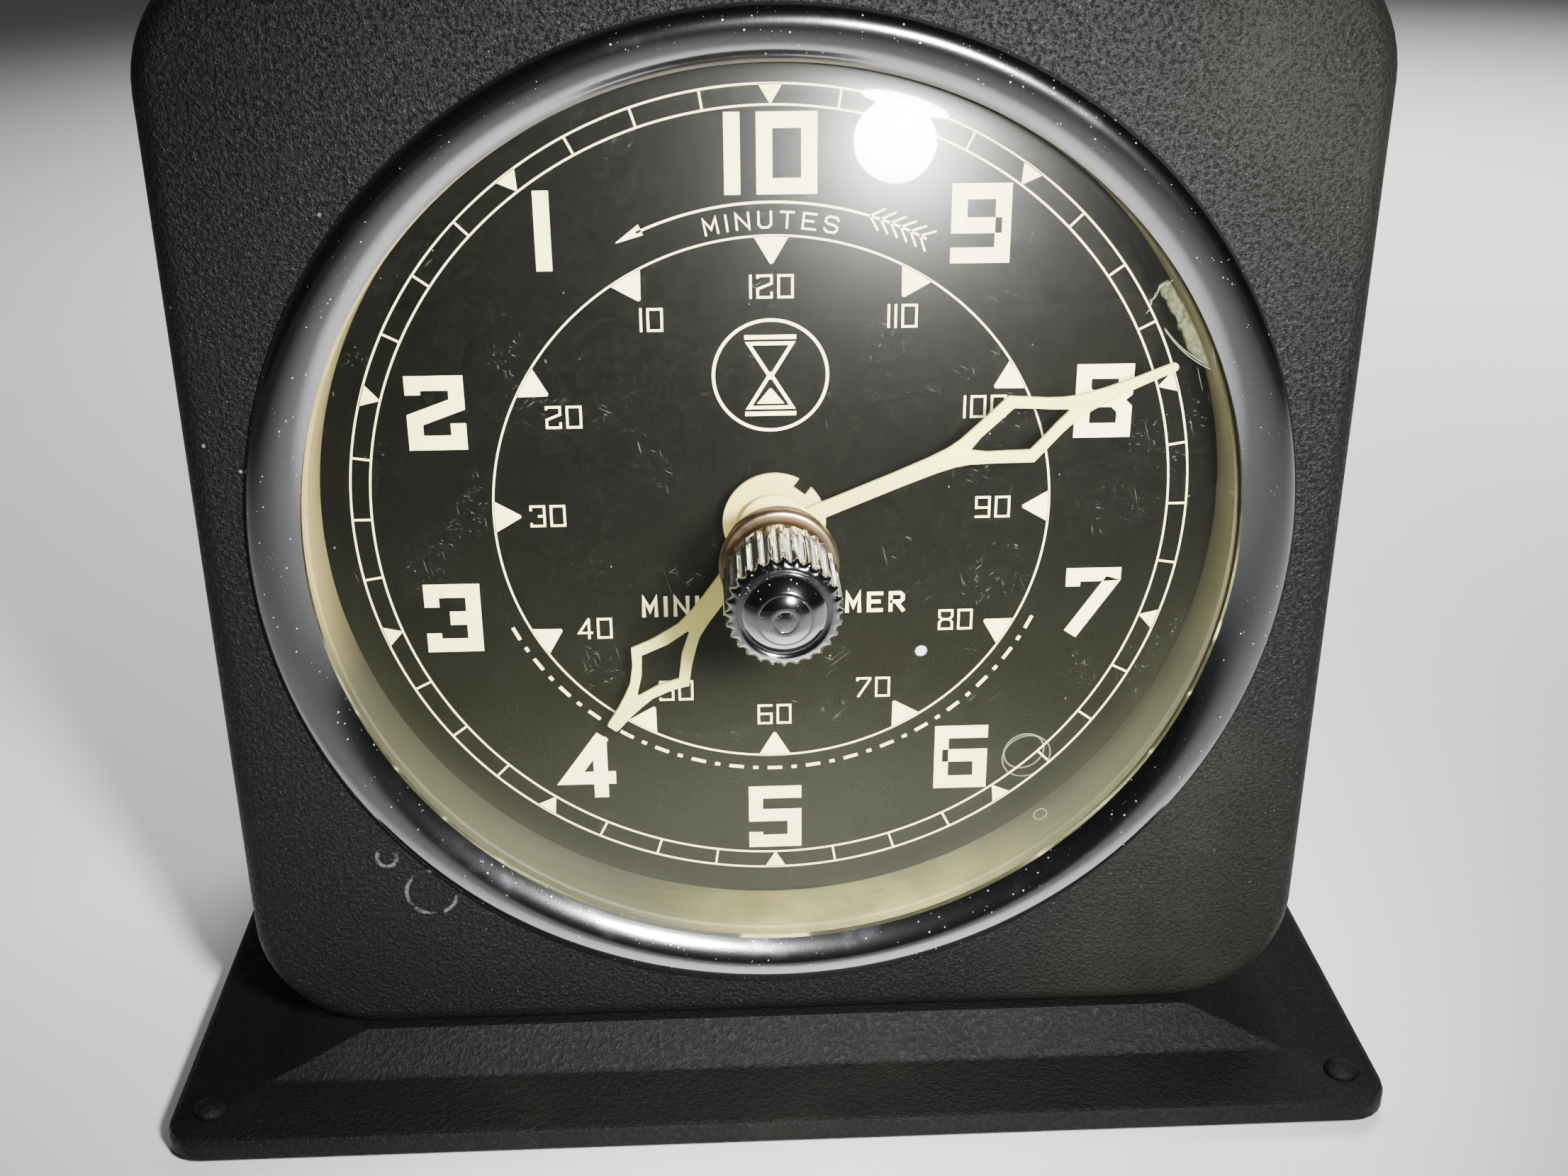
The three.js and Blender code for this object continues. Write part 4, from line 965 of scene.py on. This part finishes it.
def bezel():
    """The low chromed roll: a quarter ellipse up to its crest, then a parabola down to the lip."""
    seat, crest = CASE_LOW.y - 0.1, BEZEL_LOW.y
    lip_front, lip_back = crest + 2.0, -11.1
    steps = 16
    profile = []
    for i in range(steps + 1):
        angle = math.pi / 2 * i / steps
        radius = BEZEL_CREST + (BEZEL_RADIUS - BEZEL_CREST) * math.cos(angle)
        profile.append((radius, seat + (crest - seat) * math.sin(angle)))
    for i in range(1, steps + 1):
        share = i / steps
        radius = BEZEL_CREST + (LIP_RADIUS - BEZEL_CREST) * share
        profile.append((radius, crest + (lip_front - crest) * share * share))
    profile += [(LIP_RADIUS, lip_front + 0.15), (LIP_RADIUS, lip_back), (59.0, lip_back)]
    profile += [(59.0, BEZEL_HIGH.y), (59.9, BEZEL_HIGH.y), (59.9, seat)]
    build("bezel", turned(profile, 256), "chrome", ["bezel_ring"], crisp=38)


def spacer():
    """The cream ring between dial and crystal, its bore's edges slightly rounded."""
    low, high = local_box("dial_spacer")
    bore, outside = SPACER_RADIUS, 58.4
    profile = [(bore + 0.3, low.y), (bore, low.y + 0.3), (bore, high.y - 0.5), (bore + 0.3, high.y)]
    profile += [(outside, high.y), (outside, low.y)]
    build("spacer_ring", turned(profile), "cream_ring", ["dial_spacer"], crisp=38)


def crystal():
    """The domed front, with its flat rim and the hole for the setting spindle."""
    thickness = 1.5
    steps = 22
    radii = [CRYSTAL_HOLE + (CRYSTAL_RIM - CRYSTAL_HOLE) * i / steps for i in range(steps + 1)]
    rim = CRYSTAL_HIGH.x
    edge = crystal_front(CRYSTAL_RIM)
    front = [(r, crystal_front(r)) for r in radii] + [(rim - 0.3, edge), (rim, edge + 0.3)]
    back = [(rim, edge + thickness)] + [(r, crystal_front(r) + thickness) for r in reversed(radii)]
    build("crystal_dome", turned(front + back), "clear_plastic", ["crystal"], crisp=30)


def eyelet():
    """The rolled eyelet in the crystal's hole: a flange in front, a neck and a clenched rim behind."""
    bore, neck, flange = 5.2, 6.1, 7.2
    front = crystal_front(CRYSTAL_HOLE) - 0.1
    back = crystal_front(flange) + 1.6
    profile = [(bore, front + 0.2)] + arc_points((bore + 0.9, front + 0.1), 0.9, 180, 270, 6)
    profile += arc_points((flange - 0.7, front - 0.1), 0.7, -90, 0, 5)
    profile += [(flange, front), (neck, front), (neck, back), (flange - 0.3, back)]
    profile += [(flange - 0.4, back + 0.5), (bore + 0.3, back + 0.6), (bore, back + 0.3)]
    build("spindle_eyelet", turned(profile, 96), "bronze", ["crystal_eyelet"], crisp=45)


# ---------------------------------------------------------------- dial printing

# Depth of the printing's front and back, and how much a figure's later strokes stand before its first.
PRINT_TOP = -0.05
PRINT_BACK = -0.005
STROKE_LIFT = 0.012
OUTER_TRACK = (50.7, 53.15)
# The figures stand a little off their circles: each one's shift across and up, in millimetres.
OUTER_SHIFTS = {1: (-1.5, -0.2), 4: (0.5, 0), 6: (-0.35, 0), 7: (0.3, 0.3), 9: (-0.5, 0)}
INNER_SHIFTS = {
    10: (-0.45, 0), 20: (-1.3, -1.5), 30: (-0.2, 0), 40: (1.2, -1.3), 50: (1.15, 0), 70: (-1.0, -0.2),
    80: (-0.7, -1.2), 90: (-0.25, 0), 100: (2.0, -1.1), 110: (1.8, 0),
}
INNER_RING = 35.4
LINE = 0.26

# Strokes of the block figures and letters, in a unit box of centre lines.
GLYPHS = {
    "0": [[(0, 0), (1, 0), (1, 1), (0, 1), (0, 0)]],
    "1": [[(0, 0), (0, 1)]],
    "2": [[(0, 0.93), (0, 1), (1, 1), (1, 0.64), (0, 0.39), (0, 0), (1, 0), (1, 0.2)]],
    "3": [[(0, 0.83), (0, 1), (1, 1), (1, 0), (0, 0), (0, 0.1)], [(1, 0.5), (0.6, 0.5)]],
    "4": [[(1, 0.27), (0.02, 0.27), (0.78, 1)], [(0.8, 0), (0.8, 0.96)]],
    "5": [[(1, 1), (0, 1), (0, 0.53), (1, 0.53), (1, 0), (0, 0), (0, 0.06)]],
    "6": [[(1, 1), (0, 1), (0, 0), (1, 0), (1, 0.53), (0.2, 0.53)]],
    "7": [[(0, 0.91), (0, 1), (1, 1), (1, 0.93), (0.1, 0)]],
    "8": [
        [(0.24, 0.52), (0, 0.66), (0, 1), (1, 1), (1, 0.66), (0.76, 0.52), (0.24, 0.52)],
        [(0.24, 0.52), (0, 0.36), (0, 0), (1, 0), (1, 0.36), (0.76, 0.52)],
    ],
    "9": [[(0, 0), (1, 0), (1, 1), (0, 1), (0, 0.47), (0.8, 0.47)]],
    "M": [[(0, 0), (0, 1), (0.5, 0.3), (1, 1), (1, 0)]],
    "I": [[(0, 0), (0, 1)]],
    "N": [[(0, 0), (0, 1), (1, 0), (1, 1)]],
    "U": [[(0, 1), (0, 0.2), (0.25, 0), (0.75, 0), (1, 0.2), (1, 1)]],
    "T": [[(0, 1), (1, 1)], [(0.5, 0.9), (0.5, 0)]],
    "E": [[(1, 1), (0, 1), (0, 0), (1, 0)], [(0.1, 0.52), (0.8, 0.52)]],
    "S": [[(1, 0.84), (0.8, 1), (0.2, 1), (0, 0.84), (0, 0.64), (0.2, 0.53), (0.8, 0.47),
           (1, 0.36), (1, 0.16), (0.8, 0), (0.2, 0), (0, 0.16)]],
    "R": [[(0, 0), (0, 1), (0.8, 1), (1, 0.86), (1, 0.64), (0.8, 0.5), (0.1, 0.5)], [(0.5, 0.45), (1, 0)]],
}
NARROW = {"1", "I"}


class Print:
    """Flat printing on the dial, gathered into one thin mesh."""

    def __init__(self):
        self.verts = []
        self.faces = []
        self.lift = 0.0

    def add(self, left, right, closed=False):
        """A strip between two rows of points."""
        count = len(left)
        start = len(self.verts)
        for y in (PRINT_TOP - self.lift, PRINT_BACK):
            for row in (left, right):
                self.verts.extend((x, y, z) for x, z in row)
        fl, fr, bl, br = (start + count * i for i in range(4))
        for i in range(count if closed else count - 1):
            n = (i + 1) % count
            self.faces.append((fl + i, fl + n, fr + n, fr + i))
            self.faces.append((bl + i, br + i, br + n, bl + n))
            self.faces.append((fl + i, bl + i, bl + n, fl + n))
            self.faces.append((fr + i, fr + n, br + n, br + i))
        if not closed:
            for i in (0, count - 1):
                self.faces.append((fl + i, fr + i, br + i, bl + i))

    def ring(self, radius, width, count=240, centre=(0, 0)):
        """A circle drawn in a line of this width."""
        rows = []
        for edge in (radius - width / 2, radius + width / 2):
            rows.append(moved([(x, z) for x, _, z in circle(edge, 0, count)], centre))
        self.add(*rows, closed=True)

    def triangle(self, a, b, c):
        """A filled triangle with its tip at c."""
        middle = tuple((p + q) / 2 for p, q in zip(a, b))
        tip = 0.08
        near = [tuple(q + (p - q) * tip for p, q in zip(corner, c)) for corner in (a, b)]
        end = tuple((p + q) / 2 for p, q in zip(*near))
        self.add([a, near[0]], [middle, end])
        self.add([middle, end], [b, near[1]])

    def stroke(self, points, width):
        """A line of this width with mitred corners and square ends."""
        closed = points[0] == points[-1]
        if closed:
            points = points[:-1]
        count = len(points)
        left, right = [], []
        for i, point in enumerate(points):
            here = Vector(point)
            before = Vector(points[i - 1]) if closed or i > 0 else None
            after = Vector(points[(i + 1) % count]) if closed or i < count - 1 else None
            arriving = (here - before).normalized() if before is not None else None
            leaving = (after - here).normalized() if after is not None else None
            if arriving is None or leaving is None:
                way = arriving or leaving
                here = here + way * (width / 2) * (1 if leaving is None else -1)
                across = Vector((-way.y, way.x)) * width / 2
            else:
                normal = Vector((-(arriving + leaving).y, (arriving + leaving).x)).normalized()
                across = normal * (width / 2) / max(0.4, normal.dot(Vector((-leaving.y, leaving.x))))
            left.append(tuple(here + across))
            right.append(tuple(here - across))
        self.add(left, right, closed)

    def glyph(self, letter, centre, size, width, turn=0.0):
        """One figure or letter with its box centred on centre, turned clockwise by turn."""
        wide = 0.0 if letter in NARROW else size[0] - width
        tall = size[1] - width
        for order, stroke in enumerate(GLYPHS[letter]):
            self.lift = STROKE_LIFT * order
            points = [((u - 0.5) * wide if wide else 0.0, (v - 0.5) * tall) for u, v in stroke]
            self.stroke(moved(rotate_outline(points, -turn), centre), width)
        self.lift = 0.0

    def word(self, text, centre, size, width, gap, radius=None):
        """A row of letters, level or along a circle of this radius."""
        widths = [width if letter in NARROW else size[0] for letter in text]
        total = sum(widths) + gap * (len(text) - 1)
        along = -total / 2
        for letter, wide in zip(text, widths):
            middle = along + wide / 2
            if radius is None:
                self.glyph(letter, (centre[0] + middle, centre[1]), size, width)
            else:
                angle = middle / radius
                self.glyph(letter, (radius * math.sin(angle), radius * math.cos(angle)), size, width, angle)
            along += wide + gap


def polar(radius, degrees):
    """A point at an angle counter-clockwise from the top of the dial."""
    angle = math.radians(degrees)
    return (-radius * math.sin(angle), radius * math.cos(angle))


def number(ink, value, angle, oval, shift, size, stroke, gap):
    """An upright number on an oval of half widths (across, up), moved by shift."""
    x, z = polar(1, angle)
    centre = (oval[0] * x + shift[0], oval[1] * z + shift[1])
    ink.word(str(value), centre, size, stroke, gap)


def pointer(ink, base, tip, angle, half_width):
    """A triangle across a scale, from radius base to its tip."""
    half = math.degrees(half_width / base)
    ink.triangle(polar(base, angle - half), polar(base, angle + half), polar(tip, angle))


def outer_scale(ink):
    """Two circles with a triangle at each minute, three ticks between, and the figures 1 to 10 inside."""
    inner, outer = OUTER_TRACK
    tick_gap, tick_width = 0.3, 0.28
    for radius in OUTER_TRACK:
        ink.ring(radius, LINE)
    for minute in range(10):
        start = 36 * minute
        pointer(ink, outer, inner, start, 1.45)
        for angle in (start + 9, start + 18, start + 27):
            ink.stroke([polar(inner + tick_gap, angle), polar(outer - tick_gap, angle)], tick_width)
        shift = OUTER_SHIFTS.get(minute, (0, 0))
        number(ink, minute or 10, start, (43.7, 45.1), shift, (7.2, 9.6), 1.9, 1.9)


def inner_scale(ink):
    """A circle with a triangle at each ten minutes, and the numbers 10 to 120 inside."""
    triangle_tip = 31.7
    ink.ring(INNER_RING, LINE, 180)
    for minute in range(0, 120, 10):
        start = 3 * minute
        pointer(ink, INNER_RING, triangle_tip, start, 2.15)
        shift = INNER_SHIFTS.get(minute, (0, 0))
        number(ink, minute or 120, start, (28.4, 29.2), shift, (1.98, 2.95), 0.30, 0.56)


def arrow_and_words(ink):
    """The arrow that shows which way to set the hands, with its unit, and the kind of instrument."""
    radius = 39.4
    shaft = [polar(radius, angle) for angle in range(24, -29, -2)]
    ink.stroke(shaft, 0.3)
    ink.triangle(polar(radius + 0.8, 23.2), polar(radius - 0.6, 23.2), polar(radius, 28.5))
    for i in range(6):
        foot = 17.5 + 1.9 * i
        for side in (1.3, -1.3):
            ink.stroke([polar(radius, -foot), polar(radius + side, -foot - 2.0)], LINE)
    ink.word("MINUTES", (0, 0), (1.75, 2.1), 0.26, 0.92, radius=37.3)
    for text, x in (("MINUTE", -9.8), ("TIMER", 11.2)):
        ink.word(text, (x, -13.0), (2.1, 2.9), 0.5, 0.75)


def emblem(ink):
    """A plain ring with an hourglass in it."""
    centre = (-0.2, 18.0)
    ink.ring(7.05, 0.4, 72, centre)
    for way in (1, -1):
        rim, waist, plate = 4.1 * way, 0.25 * way, 4.9 * way
        glass = [(-2.7, rim), (2.7, rim), (0.3, waist), (-0.3, waist), (-2.7, rim)]
        ink.stroke(moved(glass, centre), 0.45)
        ink.stroke(moved([(-2.9, plate), (2.9, plate)], centre), 0.55)
    sand = [(-1.7, -3.6), (1.7, -3.6), (0, -1.5)]
    ink.triangle(*moved(sand, centre))


def lower_ornament(ink):
    """Short dashes and dots round the lower half of the inner ring."""
    radius, half_dash, half_dot = 37.4, 0.75, 0.12
    for i in range(33):
        angle = 116 + 4 * i
        half = math.degrees((half_dot if i % 2 else half_dash) / radius)
        ink.stroke([polar(radius, angle - half), polar(radius, angle + half)], 0.45)


def dial_printing():
    """All that is printed on the dial, as one piece."""
    ink = Print()
    outer_scale(ink)
    inner_scale(ink)
    arrow_and_words(ink)
    emblem(ink)
    lower_ornament(ink)
    build("dial_printing", (ink.verts, ink.faces), "cream_print", crisp=0)


# ---------------------------------------------------------------- hands and knob


def hand_outline(hub, sides, window, notch=0.0):
    """A pierced hand pointing up, as its outline and its window.

    sides and window list (height, half width) from the hub to the tip. notch is the width of a cut in the
    hub's rim, opposite the hand.
    """
    right = [(x, z) for z, x in sides]
    left = [(-x, z) for x, z in reversed(right)]
    root = math.degrees(math.acos(sides[0][1] / hub))
    if notch:
        cut = math.degrees(math.asin(notch / 2 / hub))
        floor = (hub - 1.3) * math.cos(math.radians(cut))
        around = arc_points((0, 0), hub, 180 - root, 270 - cut, 20)
        around += [(-notch / 2, -floor), (notch / 2, -floor)]
        around += arc_points((0, 0), hub, 270 + cut, 360 + root, 20)
    else:
        around = arc_points((0, 0), hub, 180 - root, 360 + root, 40)
    outline = right + left + around
    hole = [(x, z) for z, x in window] + [(-x, z) for z, x in reversed(window)]
    return [outline[::-1], hole]


def hand_angle(node):
    """The angle of a hand, counter-clockwise from the top, from its CAD mesh's farthest point."""
    mesh = frame["nodes"][node].data
    tip = max((v.co - DIAL for v in mesh.vertices), key=lambda p: p.x * p.x + p.z * p.z)
    return math.atan2(-tip.x, tip.z)


# The hands' outlines and windows: height above the centre and half width, in millimetres.
LONG_SIDES = (
    (16, 1.0), (21, 1.1), (23.5, 1.3), (25.3, 1.7), (28.1, 2.75), (32.7, 4.6), (34.7, 3.65), (37, 2.5),
    (38.9, 1.75), (40.4, 1.35), (41.9, 1.1), (44, 0.85), (48, 0.62), (52.3, 0.55), (52.7, 0.46), (52.95, 0.2),
)
LONG_WINDOW = ((26.2, 0.12), (27.8, 1.05), (30.2, 1.95), (32.8, 2.95), (35.3, 1.8), (37, 0.95), (38.9, 0.12))
SHORT_SIDES = (
    (7.5, 1.5), (13.5, 1.35), (16.2, 1.4), (18.5, 1.65), (20, 2.2), (22.4, 3.2), (24.9, 4.6), (26.8, 3.1),
    (29.2, 1.8), (31, 1.4), (33, 1.05), (35.5, 0.85), (35.95, 0.7),
)
SHORT_WINDOW = ((18.6, 0.12), (21.7, 1.15), (24.9, 2.95), (27.3, 1.3), (30, 0.12))


def hands():
    """The long hand on the spindle and the short one on the hour pipe, turned as the CAD hands are."""
    for name, node, body, bore, shape in (
        ("minute_hand", "long_hand", "setting_spindle", 2.5, hand_outline(4.6, LONG_SIDES, LONG_WINDOW)),
        ("hour_hand", "short_hand", "hour_gear", 3.5, hand_outline(6.5, SHORT_SIDES, SHORT_WINDOW, 1.9)),
    ):
        angle = hand_angle(node)
        outlines = [rotate_outline(part, angle) for part in (*shape, round_hole((0, 0), bore))]
        flat_piece(name, node, outlines, 0.08, "cream_paint", body)


def knob():
    """Fluted grip, chamfered rim, ring groove and stepped dome."""
    front, rear = KNOB_LOW.y, KNOB_HIGH.y
    rim = front + 2.6
    grip_back = front + 12.7
    per_flute = 8
    count = KNOB_FLUTES * per_flute
    land = 0.12

    def fluted(radius, y, depth):
        loop = []
        for i in range(count):
            share = (i % per_flute) / per_flute
            groove = 0.0
            if land < share < 1 - land:
                groove = math.sin(TURN * (share - land) / (2 * (1 - 2 * land)))
            r = radius - depth * groove**0.7
            loop.append((r * math.sin(TURN * i / count), y, r * math.cos(TURN * i / count)))
        return loop

    # Radius, depth from the front and depth of the flutes: the stem, the grip, its front chamfer, the groove.
    profile = [(3.4, rear, 0), (3.4, grip_back, 0), (5.9, grip_back, 0)]
    profile += [(6.4, grip_back - 0.05, 0.15), (KNOB_RADIUS, grip_back - 0.45, 0.5)]
    profile += [(KNOB_RADIUS, y, 0.5) for y in (rim + 6, rim + 3, rim + 0.6)]
    profile += [(KNOB_RADIUS - 0.12, rim + 0.25, 0.42), (KNOB_RADIUS - 0.4, rim, 0.2)]
    profile += [(5.75, rim - 0.3, 0), (5.45, rim - 0.35, 0), (5.3, rim - 0.2, 0), (5.0, rim - 0.1, 0)]
    profile += [(4.85, rim - 0.35, 0)]
    dome_radius, dome_rise = 4.75, 2.0
    sphere = (dome_radius**2 + dome_rise**2) / (2 * dome_rise)
    for r in (dome_radius, 4.5, 4.0, 3.4, 3.05, 2.95, 2.5, 1.9, 1.35, 1.25, 0.7, 0.25):
        dip = 0.07 if r in (2.95, 1.25) else 0.0
        profile.append((r, front + sphere - math.sqrt(sphere**2 - r * r) + dip, 0))
    loops = [fluted(*row) for row in profile]
    build("setting_knob", loft(loops), "knob_chrome", ["set_knob"], "setting_spindle", crisp=42)


# ---------------------------------------------------------------- CAD pieces that stay, and the stage


def dress_cad_nodes():
    """Gives the CAD nodes that stay visible the material of their slot."""
    slots = {entry["node"]: entry["material_slot"] for entry in frame["record"]["subparts"]}
    for node, piece in frame["nodes"].items():
        if piece.hide_render:
            continue
        material = MATERIALS[slots[node]]
        if piece.material_slots:
            for material_slot in piece.material_slots:
                material_slot.material = material
        else:
            piece.data.materials.append(material)


def add_floor():
    """The pale floor, size metres to each side."""
    size = 6
    mesh = bpy.data.meshes.new("floor")
    corners = [(-size, -size, 0), (size, -size, 0), (size, size, 0), (-size, size, 0)]
    mesh.from_pydata(corners, [], [(0, 1, 2, 3)])
    floor = add_object("floor", mesh)
    mesh.materials.append(floor_material())


add_camera()
add_lights()
add_floor()
case_shell()
base_plinth()
feet_and_rivets()
for index in range(1, 5):
    screw_piece(f"cover_screw_{index}", f"rear_cover_screw_{index}", 2.8, "y")
for index in (1, 2):
    screw_piece(f"plinth_screw_{index}", f"base_screw_{index}", 3.4, "z")
rear_cover()
cord_bushing()
bezel()
spacer()
crystal()
eyelet()
dial_printing()
hands()
knob()
dress_cad_nodes()
